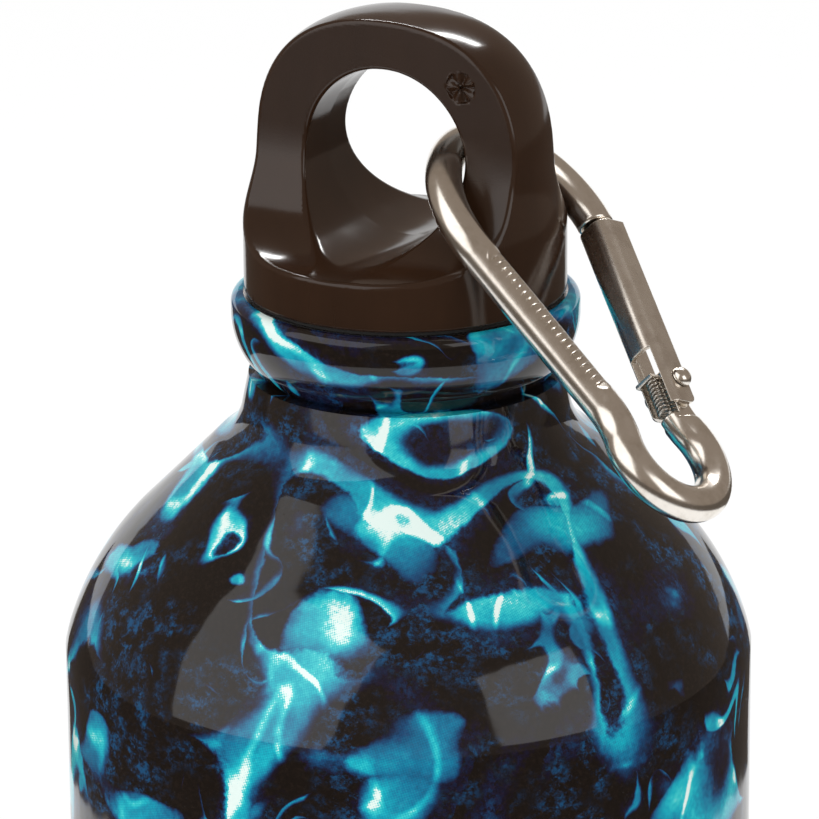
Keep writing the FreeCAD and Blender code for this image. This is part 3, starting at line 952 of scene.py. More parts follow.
@dataclass(frozen=True)
class MouldedPlastic(Finish):
    """Black moulded plastic: polished, with satin flat faces."""

    name: str = "moulded_plastic"
    slot: str = "cap_plastic"
    base: Colour = (0.0215, 0.0096, 0.0047)
    flow: Cloud = Cloud(5.0, 3.0, 0.6)
    flow_stretch: Place = (1.0, 1.0, 0.3)
    flow_light: float = 1.6
    gloss: float = 0.11
    satin: float = 0.38
    wear: Cloud = Cloud(3.0, 4.0, 0.7)
    wear_spread: float = 0.05
    blast: Cloud = Cloud(0.22, 2.0, 0.6)
    blast_depth: float = 0.010
    sink: Cloud = Cloud(7.0, 1.0)
    sink_depth: float = 0.10

    @staticmethod
    def face(shader: Shader) -> bpy.types.NodeSocket:
        """One on the flat faces that the mould blasted, and 0 elsewhere."""
        return shader.node("ShaderNodeAttribute", attribute_name="satin").outputs["Fac"]

    def colour(self, shader: Shader) -> Feed:
        """Nearly black, a little warm, with faint flow lines.

        Args:
            shader: The tree.

        Returns:
            The colour.
        """
        lighter = tuple(value * self.flow_light for value in self.base)
        flow = shader.noise(shader.place(stretch=self.flow_stretch), self.flow)
        return shader.mix(flow, self.base, lighter)

    def roughness(self, shader: Shader) -> Feed:
        """Satin where the mould's flat faces were blasted.

        Args:
            shader: The tree.

        Returns:
            The roughness.
        """
        level = shader.math("MULTIPLY_ADD", self.face(shader), self.satin - self.gloss, self.gloss)
        wear = shader.noise(shader.place(), self.wear)
        return shader.math("ADD", level, shader.math("MULTIPLY", wear, self.wear_spread))

    def normal(self, shader: Shader) -> Feed:
        """Fine blasted grain on the faces and slow sink waves elsewhere.

        Args:
            shader: The tree.

        Returns:
            The normal.
        """
        face = self.face(shader)
        grain = shader.math("MULTIPLY", shader.noise(shader.place(), self.blast), face)
        sink = shader.noise(shader.place(), self.sink)
        return shader.bump(grain, self.blast_depth, shader.bump(sink, self.sink_depth))

    def fixed(self) -> dict[str, float]:
        """Polypropylene."""
        return {"IOR": 1.49, "Specular IOR Level": 0.5}


class Grain(Enum):
    """Which way a metal's fine scratches run."""

    ROUND_AXIS = (1.0, 1.0, 26.0)
    DRAWN = (5.0, 5.0, 5.0)


@dataclass(frozen=True)
class Metal(Finish):
    """Bare or plated metal with fine scratches."""

    base: Colour
    dull: Colour
    shine: float
    spread: float
    grain: Grain = Grain.DRAWN
    scratch: float = 0.004
    worn: Patches = Patches(Cloud(2.6, 5.0, 0.65), 0.42, 0.75)
    smear: Cloud = Cloud(1.7, 5.0, 0.7)
    scratches: Cloud = Cloud(2.2, 4.0, 0.7)

    def colour(self, shader: Shader) -> Feed:
        """Slightly duller in worn patches."""
        return shader.mix(shader.patches(self.worn), self.base, self.dull)

    def roughness(self, shader: Shader) -> Feed:
        """Smeared by handling."""
        return shader.levels(Levels(self.smear, self.spread, self.shine))

    def normal(self, shader: Shader) -> Feed:
        """Scratches."""
        fine = shader.noise(shader.place(stretch=self.grain.value), self.scratches)
        return shader.bump(fine, self.scratch)

    def fixed(self) -> dict[str, float]:
        """A metal."""
        return {"Metallic": 1.0}


@dataclass(frozen=True)
class Silicone(Finish):
    """Matt black sealing ring."""

    name: str = "silicone"
    slot: str = "gasket"
    black: Colour = (0.010, 0.010, 0.010)
    dusty: Colour = (0.026, 0.025, 0.024)
    dust: Cloud = Cloud(0.8, 3.0, 0.7)
    matt: Levels = Levels(Cloud(0.5), 0.2, 0.5)
    pores: Cloud = Cloud(0.3)
    pore_depth: float = 0.01

    def colour(self, shader: Shader) -> Feed:
        """Black with a trace of dust."""
        return shader.mix(shader.noise(shader.place(), self.dust), self.black, self.dusty)

    def roughness(self, shader: Shader) -> Feed:
        """Matt."""
        return shader.levels(self.matt)

    def normal(self, shader: Shader) -> Feed:
        """Fine pores."""
        return shader.bump(shader.noise(shader.place(), self.pores), self.pore_depth)


BARE_ALUMINIUM = Metal("bare_aluminium", "bare_metal", (0.80, 0.80, 0.81), (0.66, 0.66, 0.67),
                       shine=0.20, spread=0.14, grain=Grain.ROUND_AXIS, scratch=0.006)
PLATED_WIRE = Metal("plated_wire", "hook_wire", (0.95, 0.90, 0.83), (0.80, 0.74, 0.66),
                    shine=0.13, spread=0.16)
PLATED_SHEET = Metal("plated_sheet", "gate_sheet", (0.92, 0.87, 0.80), (0.76, 0.70, 0.63),
                     shine=0.18, spread=0.18)
SPRING_STEEL = Metal("spring_steel", "spring_wire", (0.62, 0.60, 0.56), (0.40, 0.38, 0.36),
                     shine=0.20, spread=0.16)
FILM = PrintedFilm()
PLASTIC = MouldedPlastic()
SILICONE = Silicone()


def dress(piece: bpy.types.Object, finish: Finish, body: str, *nodes: str) -> bpy.types.Object:
    """Give a piece its finish and its place in the frame.

    Args:
        piece: The piece.
        finish: Its finish.
        body: The body it moves with.
        *nodes: The CAD nodes it stands for.

    Returns:
        The piece.
    """
    piece.data.materials.clear()
    piece.data.materials.append(finish.material())
    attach(piece, body)
    if nodes:
        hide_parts(*nodes)
    sides = sum(len(face.vertices) - 2 for face in piece.data.polygons)
    log.info("%s: %d triangles, rides on %s", piece.name, sides, body)
    return piece


# ------------------------------------------------------------------ helices and rows
class Recipe(Tree):
    """A tree that makes one piece from sizes given by name."""

    def opened(self, sizes: dict[str, float]) -> bpy.types.NodeOutputs:
        """Give the tree an input for each size, and an output for its shape.

        Args:
            sizes: The sizes by name, where a whole number makes a whole-number input.

        Returns:
            The sizes, to feed to nodes.
        """
        face = self.tree.interface
        for name, value in sizes.items():
            kind = "NodeSocketInt" if isinstance(value, int) else "NodeSocketFloat"
            face.new_socket(name=name, in_out="INPUT", socket_type=kind)
        face.new_socket(name="Geometry", in_out="OUTPUT", socket_type="NodeSocketGeometry")
        return self.node("NodeGroupInput").outputs

    def closed(self, shape: bpy.types.NodeSocket, finish: Finish) -> None:
        """End the tree with its shape in a finish.

        Args:
            shape: The shape.
            finish: What it is made of.
        """
        real = self.out("GeometryNodeRealizeInstances", {0: shape})
        painted = self.out("GeometryNodeSetMaterial", {
            "Geometry": real, "Material": finish.material()})
        self.made("NodeGroupOutput", {0: painted})


class Wire(Enum):
    """What is wound along a helix."""

    ROUND = "round"
    RIDGE = "ridge"


@dataclass(frozen=True)
class Helix:
    """A right-handed helix round its own Z axis.

    A round wire has half its thickness as the width.  A ridge has a width towards the axis, a
    crest away from it and a height between them, and thins out at its two ends.
    """

    name: str
    radius: float
    rise: float
    turns: float
    wire: Wire
    width: float
    height: float = 0.0
    crest: float = 0.0
    steps: int = 48
    sides: int = 14
    taper: float = 0.04
    thinnest: float = 0.25

    @property
    def sizes(self) -> dict[str, float]:
        """The sizes by name."""
        return {"Radius": self.radius, "Rise": self.rise, "Turns": self.turns,
                "Width": self.width, "Height": self.height, "Crest": self.crest}

    def tree(self, finish: Finish) -> bpy.types.NodeTree:
        """Build the node tree.

        Args:
            finish: What the helix is made of.

        Returns:
            A tree with named inputs for its sizes.
        """
        nodes = Recipe(bpy.data.node_groups.new(self.name, "GeometryNodeTree"))
        given = nodes.opened(self.sizes)
        spiral = nodes.out("GeometryNodeCurveSpiral", {
            "Resolution": self.steps, "Rotations": given["Turns"], "Start Radius": given["Radius"],
            "End Radius": given["Radius"], "Height": given["Rise"], "Reverse": True})
        level = nodes.out("GeometryNodeSetCurveNormal", {"Curve": spiral}, mode="Z_UP")
        profile = self._profile(nodes, given)
        along = nodes.node("GeometryNodeSplineParameter").outputs["Factor"]
        away = nodes.out("ShaderNodeMath", {0: 1.0, 1: along}, operation="SUBTRACT")
        near_end = nodes.out("ShaderNodeMath", {0: along, 1: away}, operation="MINIMUM")
        taper = nodes.out("ShaderNodeMapRange", {
            "Value": near_end, "From Max": self.taper, "To Min": self.thinnest})
        swept = nodes.out("GeometryNodeCurveToMesh", {
            "Curve": level, "Profile Curve": profile, "Fill Caps": True,
            "Scale": taper if self.wire is Wire.RIDGE else None})
        nodes.closed(swept, finish)
        return nodes.tree

    def _profile(self, nodes: Recipe, given: bpy.types.NodeOutputs) -> bpy.types.NodeSocket:
        """The section that is wound.

        Args:
            nodes: The tree.
            given: Its sizes.

        Returns:
            A circle, or a trapezoid whose crest points away from the axis.
        """
        if self.wire is Wire.ROUND:
            return nodes.out("GeometryNodeCurvePrimitiveCircle", {
                "Resolution": self.sides, "Radius": given["Width"]})
        shape = nodes.out("GeometryNodeCurvePrimitiveQuadrilateral", {
            "Bottom Width": given["Width"], "Top Width": given["Crest"],
            "Height": given["Height"], "Offset": 0.0}, mode="TRAPEZOID")
        return nodes.out("GeometryNodeTransform", {
            "Geometry": shape, "Rotation": (0, 0, math.radians(-90))})

    def build(self, finish: Finish, place: Matrix) -> bpy.types.Object:
        """Bake the helix to a plain mesh."""
        return bake(self.name, self.tree(finish), self.sizes, place)


@dataclass(frozen=True)
class RibRow:
    """A row of short round-topped ribs along its own X axis."""

    name: str
    count: int
    run: float
    length: float
    width: float
    height: float
    segments: int = 16
    rings: int = 8

    @property
    def sizes(self) -> dict[str, float]:
        """The sizes by name."""
        return {"Count": self.count, "Run": self.run, "Length": self.length,
                "Width": self.width, "Height": self.height}

    def tree(self, finish: Finish) -> bpy.types.NodeTree:
        """Build the node tree.

        Args:
            finish: What the ribs are made of.

        Returns:
            A tree with named inputs for its sizes.
        """
        nodes = Recipe(bpy.data.node_groups.new(self.name, "GeometryNodeTree"))
        given = nodes.opened(self.sizes)
        end = nodes.out("ShaderNodeCombineXYZ", {"X": given["Run"]})
        line = nodes.out("GeometryNodeCurvePrimitiveLine", {"End": end})
        marks = nodes.out("GeometryNodeCurveToPoints", {"Curve": line, "Count": given["Count"]})
        ball = nodes.out("GeometryNodeMeshUVSphere", {
            "Segments": self.segments, "Rings": self.rings, "Radius": 0.5})
        thick = nodes.out("ShaderNodeMath", {0: given["Height"], 1: 2.0}, operation="MULTIPLY")
        size = nodes.out("ShaderNodeCombineXYZ", {
            "X": given["Width"], "Y": given["Length"], "Z": thick})
        rib = nodes.out("GeometryNodeTransform", {"Geometry": ball, "Scale": size})
        placed = nodes.out("GeometryNodeInstanceOnPoints", {"Points": marks, "Instance": rib})
        nodes.closed(placed, finish)
        return nodes.tree

    def build(self, finish: Finish, place: Matrix) -> bpy.types.Object:
        """Bake the row to a plain mesh."""
        return bake(self.name, self.tree(finish), self.sizes, place)


def bake(name: str, tree: bpy.types.NodeTree, sizes: dict[str, float],
         place: Matrix) -> bpy.types.Object:
    """Run a geometry tree once and keep its result as a plain mesh.

    Args:
        name: The piece's name.
        tree: The node tree.
        sizes: A value for each of its named inputs.
        place: Where the result lies, in millimetres.

    Returns:
        The piece, at the origin with its place in its mesh.
    """
    piece = add_object(name, bpy.data.meshes.new(name + "_seed"))
    modifier = piece.modifiers.new("build", "NODES")
    modifier.node_group = tree
    for item in tree.interface.items_tree:
        if item.in_out == "INPUT":
            modifier[item.identifier] = sizes[item.name]
    graph = bpy.context.evaluated_depsgraph_get()
    mesh = bpy.data.meshes.new_from_object(piece.evaluated_get(graph), depsgraph=graph)
    piece.modifiers.remove(modifier)
    mesh.transform(Matrix.Scale(MM, 4) @ place)
    mesh.shade_smooth()
    mesh.set_sharp_from_angle(angle=math.radians(BAKED_SHARP))
    mesh.name = name
    piece.data = mesh
    return piece


# ------------------------------------------------------------------ bottle
@dataclass(frozen=True)
class Thread:
    """The thread that the neck and the plug share, with ridges sunk a little into the walls."""

    pitch: float = 3.0
    height: float = 0.75
    root: float = 1.2
    crest: float = 0.6
    buried: float = 0.3

    def inside(self, name: str, wall: float, turns: float) -> Helix:
        """The ridge inside a bore of that radius."""
        return Helix(name, wall + self.buried / 2 - self.height / 2, self.pitch * turns, turns,
                     Wire.RIDGE, self.crest, self.height + self.buried, self.root)

    def outside(self, name: str, wall: float, turns: float) -> Helix:
        """The ridge round a plug of that radius."""
        return Helix(name, wall - self.buried / 2 + self.height / 2, self.pitch * turns, turns,
                     Wire.RIDGE, self.root, self.height + self.buried, self.crest)


THREAD = Thread()


@dataclass(frozen=True)
class Bottle:
    """The metal shell with its rolled neck, and the printed film shrunk over it.

    Pairs are points of the outside: a radius, and a drop below the seat.
    """

    seat: float
    radius: float
    wall: float = 1.0
    heel: float = 5.0
    ring_width: float = 3.0
    dome_rise: float = 6.0
    dome_foot: float = 1.6
    bead_radius: float = 18.15
    bead_drop: float = 0.5
    bead_edge: float = 0.9
    bead_land: float = 1.0
    bead_belly: float = 8.5
    groove: float = 14.75
    bore: float = 13.6
    collar: Pair = (16.45, 9.3)
    collar_foot: Pair = (17.1, 12.4)
    flare: Pair = (17.95, 14.75)
    cone_top: Pair = (20.1, 16.8)
    cone_foot: Pair = (27.95, 24.7)
    belly_mid: Pair = (32.6, 30.3)
    belly_drop: float = 37.6
    belly_inset: float = 0.35
    film: float = FILM_THICKNESS
    film_foot: float = 3.5
    film_mouth: float = 17.0
    thread_drop: float = 8.6
    thread_turns: float = 2.0
    segments: int = 256

    def down(self, radius: float, drop: float) -> Pair:
        """A point of the section that far below the seat."""
        return radius, self.seat - drop

    def lower(self) -> Outline:
        """Draw the outside from the middle of the base up to the neck's groove.

        Returns:
            The outline.
        """
        ring_outer = self.radius - self.heel
        ring_inner = ring_outer - self.ring_width
        foot = ring_inner - self.dome_foot
        height = self.dome_rise - self.dome_foot
        sphere = (foot ** 2 + height ** 2) / (2 * height)
        half = math.asin(foot / sphere) / 2
        dome_mid = (sphere * math.sin(half), self.dome_rise - sphere * (1 - math.cos(half)))
        reach = self.heel * math.sqrt(0.5)
        outline = Outline(0.0, self.dome_rise)
        outline.arc(dome_mid, (foot, self.dome_foot), step=2.0)
        outline.line(ring_inner, 0.0).line(ring_outer, 0.0, steps=3)
        outline.arc((ring_outer + reach, self.heel - reach), (self.radius, self.heel), step=6.0)
        outline.line(self.radius, self.seat - self.belly_drop - 4 * self.belly_inset, steps=24)
        outline.line(*self.down(self.radius - self.belly_inset, self.belly_drop))
        outline.arc(self.down(*self.belly_mid), self.down(*self.cone_foot), step=1.5)
        outline.line(*self.down(*self.cone_top), steps=8)
        outline.arc(self.down(*self.flare), self.down(*self.collar_foot), step=4.0)
        outline.line(*self.down(*self.collar), steps=3)
        return outline.line(*self.down(self.groove, self.collar[1]), steps=2)

    def upper(self, outline: Outline) -> Outline:
        """Go on from the groove, round the rolled bead to its flat top.

        Args:
            outline: The outside up to the groove.

        Returns:
            The same outline, gone on.
        """
        top = self.seat - self.bead_drop
        edge_x, edge_z = self.bead_radius - self.bead_edge, top - self.bead_edge
        centre = (self.bead_radius - self.bead_belly, edge_z - self.bead_land)
        turn = math.acos((self.groove - centre[0]) / self.bead_belly)

        def belly(angle: float) -> Pair:
            """A point on the bead's belly."""
            return (centre[0] + self.bead_belly * math.cos(angle),
                    centre[1] - self.bead_belly * math.sin(angle))

        reach = self.bead_edge * math.sqrt(0.5)
        outline.line(*belly(turn)).arc(belly(turn / 2), belly(0), step=2.0)
        outline.line(self.bead_radius, edge_z)
        return outline.arc((edge_x + reach, edge_z + reach), (edge_x, top), step=10.0)

    def shell_section(self) -> Section:
        """Draw the metal.

        Returns:
            Its closed section.
        """
        outline = self.upper(self.lower())
        outside = outline.line(self.bore, self.seat - self.bead_drop, steps=2).array()
        inside = moved_out(self.lower().array()[:-1], -self.wall)
        inside[0, 0] = 0.0
        inner_top = self.collar[1] + self.wall
        inside[-1] = self.down(inside[-1, 0], inner_top)
        bore = np.array([self.down(self.bore, inner_top)])
        return Section(np.vstack([outside, bore, inside[::-1]]))

    def film_section(self) -> Section:
        """Draw the film, from above the heel to the top of the bead.

        Returns:
            Its closed section.
        """
        path = self.upper(self.lower()).line(self.film_mouth, self.seat - self.bead_drop).array()
        covered = (path[:, 0] > self.radius - self.heel) & (path[:, 1] > self.film_foot)
        path = path[int(np.argmax(covered)):]
        return Section(np.vstack([moved_out(path, self.film), path[::-1]]))

    def lay_print(self, mesh: bpy.types.Mesh, section: Section) -> None:
        """Give the film flat coordinates in millimetres for the printer's dots.

        Args:
            mesh: The turned film.
            section: Its section.
        """
        steps = np.linalg.norm(np.diff(section.points, axis=0), axis=1)
        along = np.concatenate([[0.0], np.cumsum(steps)])
        count = len(section.points)
        layer = mesh.uv_layers.new(name="print")
        corners = np.zeros(len(mesh.loops), dtype=int)
        mesh.loops.foreach_get("vertex_index", corners)
        turn, place = corners // count, corners % count
        rings = turn.reshape(-1, 4)
        wraps = (rings.max(axis=1) - rings.min(axis=1)) > 1
        rings[wraps] = np.where(rings[wraps] == 0, self.segments, rings[wraps])
        arc = rings.reshape(-1) * (2 * math.pi * self.radius / self.segments)
        flat = np.stack([arc, along[place]], axis=1).astype(np.float32)
        layer.data.foreach_set("uv", flat.ravel())

    def build(self) -> None:
        """Make and dress the shell, its thread and the film."""
        shell = add_object("shell", self.shell_section().turned("shell", self.segments))
        dress(shell, BARE_ALUMINIUM, "bottle", "bottle_shell")
        thread = THREAD.inside("neck_thread", self.bore, self.thread_turns)
        start = Matrix.Translation((0, 0, self.seat - self.thread_drop))
        ridge = thread.build(BARE_ALUMINIUM, start)
        dress(ridge, BARE_ALUMINIUM, "bottle")
        section = self.film_section()
        skin = section.turned("film_skin", self.segments)
        self.lay_print(skin, section)
        dress(add_object("film_skin", skin), FILM, "bottle", "print_film")


# ------------------------------------------------------------------ cap
@dataclass(frozen=True)
class LoopCap:
    """The moulded cap: skirt, loop, hollow threaded plug, and the sealing ring under it."""

    seat: float
    radius: float = 16.9
    rim: float = 5.0
    side_start: float = 7.0
    arch_start: float = 14.0
    arch_radius: float = 15.9
    height: float = CAP_HEIGHT
    arch_power: float = 2.5
    half_thick: float = 4.3
    scoop: float = 12.2
    hole: float = 9.25
    hole_up: float = 14.8
    hole_draft: float = 1.4
    edge: float = 0.45
    mark: Pair = (8.9, 23.4)
    mark_radius: float = 1.65
    mark_depth: float = 0.5
    mark_petals: float = 5.0
    petal_mean: float = 0.55
    petal_swing: float = 0.45
    mark_edge: float = 0.08
    plug: float = 12.6
    plug_wall: float = 1.6
    plug_depth: float = 10.2
    plug_overlap: float = 1.0
    plug_end: float = 0.6
    mouth_edge: float = 0.3
    ceiling: float = 2.0
    skirt_edge: float = 0.25
    recess_edge: float = 0.1
    ring: float = 16.4
    ring_height: float = 1.5
    ring_drop: float = 0.5
    ring_gap: float = 0.1
    ring_edge: float = 0.2
    ring_segments: int = 192
    ridge_drop: float = 7.1
    ridge_turns: float = 1.75
    step: float = 0.29
    satin_upright: float = 0.93
    satin_fade: float = 0.06
    satin_reach: float = 1.6
    satin_run_out: float = 1.2

    def side(self, out: np.ndarray, z: np.ndarray) -> np.ndarray:
        """Distance to the turned outside of the cap.

        Args:
            out: Distance from the axis.
            z: Height above the seat.

        Returns:
            The distance, negative inside.
        """
        lean = np.clip((z - self.side_start) / (self.arch_start - self.side_start), 0, 1)
        wall = self.radius - (self.radius - self.arch_radius) * lean * lean * (3 - 2 * lean)
        rise = np.maximum(z - self.arch_start, 0) / (self.height - self.arch_start)
        power = self.arch_power
        arch = (np.abs(out / self.arch_radius) ** power + rise ** power) ** (1 / power)
        return np.where(z > self.arch_start, (arch - 1) * self.arch_radius, out - wall)

    def scoops(self, y: np.ndarray, z: np.ndarray) -> np.ndarray:
        """Distance to the two hollows that leave the loop standing between them.

        Args:
            y: Distance across the loop.
            z: Height above the seat.

        Returns:
            The distance, negative inside.
        """
        beside, above = np.abs(y) - self.half_thick, z - self.rim
        corner = np.hypot(np.maximum(self.scoop - beside, 0), np.maximum(self.scoop - above, 0))
        return np.minimum(-self.scoop, np.maximum(-beside, -above)) + corner

    def petals(self, x: np.ndarray, y: np.ndarray, z: np.ndarray) -> np.ndarray:
        """Distance to the small petalled dent in the loop's front face.

        Args:
            x: Distance along the loop.
            y: Distance across it.
            z: Height above the seat.

        Returns:
            The distance, negative inside.
        """
        across, up = x - self.mark[0], z - self.mark[1]
        wave = np.cos(self.mark_petals * np.arctan2(up, across))
        depth = self.mark_depth * (self.petal_mean + self.petal_swing * wave)
        rim = np.hypot(across, up) - self.mark_radius
        return np.maximum(rim, np.abs(y + self.half_thick) - depth)

    def solid(self, points: Points) -> np.ndarray:
        """Distance to the whole cap.

        Args:
            points: Points in its own axes, on the seat.

        Returns:
            The distance, negative inside.
        """
        x, y, z = points.T
        out = np.hypot(x, y)
        draft = np.abs(y) * math.tan(math.radians(self.hole_draft))
        hole = np.hypot(x, z - self.hole_up) - self.hole - draft
        loop = rounded_without(self.side(out, z), self.scoops(y, z), self.edge)
        loop = rounded_without(loop, hole, self.edge)
        loop = rounded_without(loop, self.petals(x, y, z), self.mark_edge)
        loop = rounded_both(loop, -z, self.skirt_edge)
        ring_top = self.ring_height - self.ring_drop
        recess = np.maximum(out - self.ring - self.ring_gap, z - ring_top)
        loop = rounded_without(loop, recess, self.recess_edge)
        plug = rounded_both(out - self.plug, -z - self.plug_depth, self.plug_end)
        plug = np.maximum(plug, z - ring_top - self.plug_overlap)
        hollow = np.maximum(out - self.plug + self.plug_wall, z - self.ceiling)
        return rounded_without(np.minimum(loop, plug), hollow, self.mouth_edge)

    def satin(self, mesh: bpy.types.Mesh) -> None:
        """Mark the loop's two flat faces.

        Args:
            mesh: The cap's mesh, in place.
        """
        count = len(mesh.vertices)
        places, normals = np.zeros(3 * count), np.zeros(3 * count)
        mesh.vertices.foreach_get("co", places)
        mesh.vertices.foreach_get("normal", normals)
        upright = np.abs(normals.reshape(-1, 3)[:, 1])
        off = np.abs(np.abs(places.reshape(-1, 3)[:, 1]) / MM - self.half_thick)
        facing = np.clip((upright - self.satin_upright) / self.satin_fade, 0, 1)
        near = np.clip((self.satin_reach - off) / self.satin_run_out, 0, 1)
        give_values(mesh, "satin", facing * near)

    def ring_section(self) -> Section:
        """Draw the sealing ring, with its edges eased.

        Returns:
            Its closed section.
        """
        inner = self.plug + THREAD.height + self.ring_gap
        low = self.seat - self.ring_drop
        high = low + self.ring_height
        ease = self.ring_edge
        soft = ease * (1 - math.sqrt(0.5))
        outline = Outline(inner + ease, low).line(self.ring - ease, low, steps=4)
        outline.arc((self.ring - soft, low + soft), (self.ring, low + ease), step=15.0)
        outline.line(self.ring, high - ease, steps=2)
        outline.arc((self.ring - soft, high - soft), (self.ring - ease, high), step=15.0)
        outline.line(inner + ease, high, steps=4)
        outline.arc((inner + soft, high - soft), (inner, high - ease), step=15.0)
        outline.line(inner, low + ease, steps=2)
        outline.arc((inner + soft, low + soft), (inner + ease, low), step=15.0)
        return Section(outline.array()[:-1])

    def build(self) -> None:
        """Make and dress the cap, its thread and the sealing ring."""
        grid = Grid((-self.radius, -self.radius, -self.plug_depth),
                    (self.radius, self.radius, self.height), self.step)
        mesh = grid.mesh("cap_loop", self.solid, Matrix.Translation((0, 0, self.seat)))
        self.satin(mesh)
        dress(add_object("cap_loop", mesh), PLASTIC, "cap", "loop_cap")
        thread = THREAD.outside("plug_thread", self.plug, self.ridge_turns)
        ridge = thread.build(PLASTIC, Matrix.Translation((0, 0, self.seat - self.ridge_drop)))
        give_values(ridge.data, "satin", np.zeros(len(ridge.data.vertices)))
        dress(ridge, PLASTIC, "cap")
        ring = self.ring_section().turned("sealing_ring", self.ring_segments)
        dress(add_object("sealing_ring", ring), SILICONE, "seal", "cap_gasket")


# ------------------------------------------------------------------ snap hook
@dataclass(frozen=True)
class Bend:
    """An arc of the wire's middle line, by the direction of its middle and half its span."""

    centre: np.ndarray
    radius: float
    middle: float
    half: float

    @classmethod
    def between(cls, centre: np.ndarray, start: np.ndarray, end: np.ndarray,
                middle: np.ndarray) -> "Bend":
        """The arc about a centre between two points.

        Args:
            centre: The centre.
            start: One end.
            end: The other end, as far from the centre.
            middle: The direction from the centre to the arc's middle.

        Returns:
            The arc.
        """
        radius = float(np.linalg.norm(start - centre))
        heading = math.atan2(middle[1], middle[0])
        spans = [abs(math.remainder(math.atan2(*(point - centre)[::-1]) - heading, 2 * math.pi))
                 for point in (start, end)]
        return cls(centre, radius, heading, sum(spans) / 2)

    def distance(self, flat: Points) -> np.ndarray:
        """Distance in the plane to the arc.

        Args:
            flat: Points of the plane.

        Returns:
            The distance of each.
        """
        away = flat - self.centre
        turn = np.arctan2(away[:, 1], away[:, 0]) - self.middle
        turn = (turn + math.pi) % (2 * math.pi) - math.pi
        on_arc = np.abs(np.hypot(away[:, 0], away[:, 1]) - self.radius)
        ends = [self.centre + self.radius * np.array([math.cos(self.middle + side * self.half),
                                                      math.sin(self.middle + side * self.half)])
                for side in (-1, 1)]
        to_end = np.minimum(*(np.linalg.norm(flat - end, axis=1) for end in ends))
        return np.where(np.abs(turn) <= self.half, on_arc, to_end)


@dataclass(frozen=True)
class Run:
    """A straight stretch of the wire's middle line."""

    start: np.ndarray
    end: np.ndarray

    def distance(self, flat: Points) -> np.ndarray:
        """Distance in the plane to the run.

        Args:
            flat: Points of the plane.

        Returns:
            The distance of each.
        """
        along = self.end - self.start
        part = np.clip((flat - self.start) @ along / (along @ along), 0, 1)
        return np.linalg.norm(flat - self.start - part[:, None] * along, axis=1)


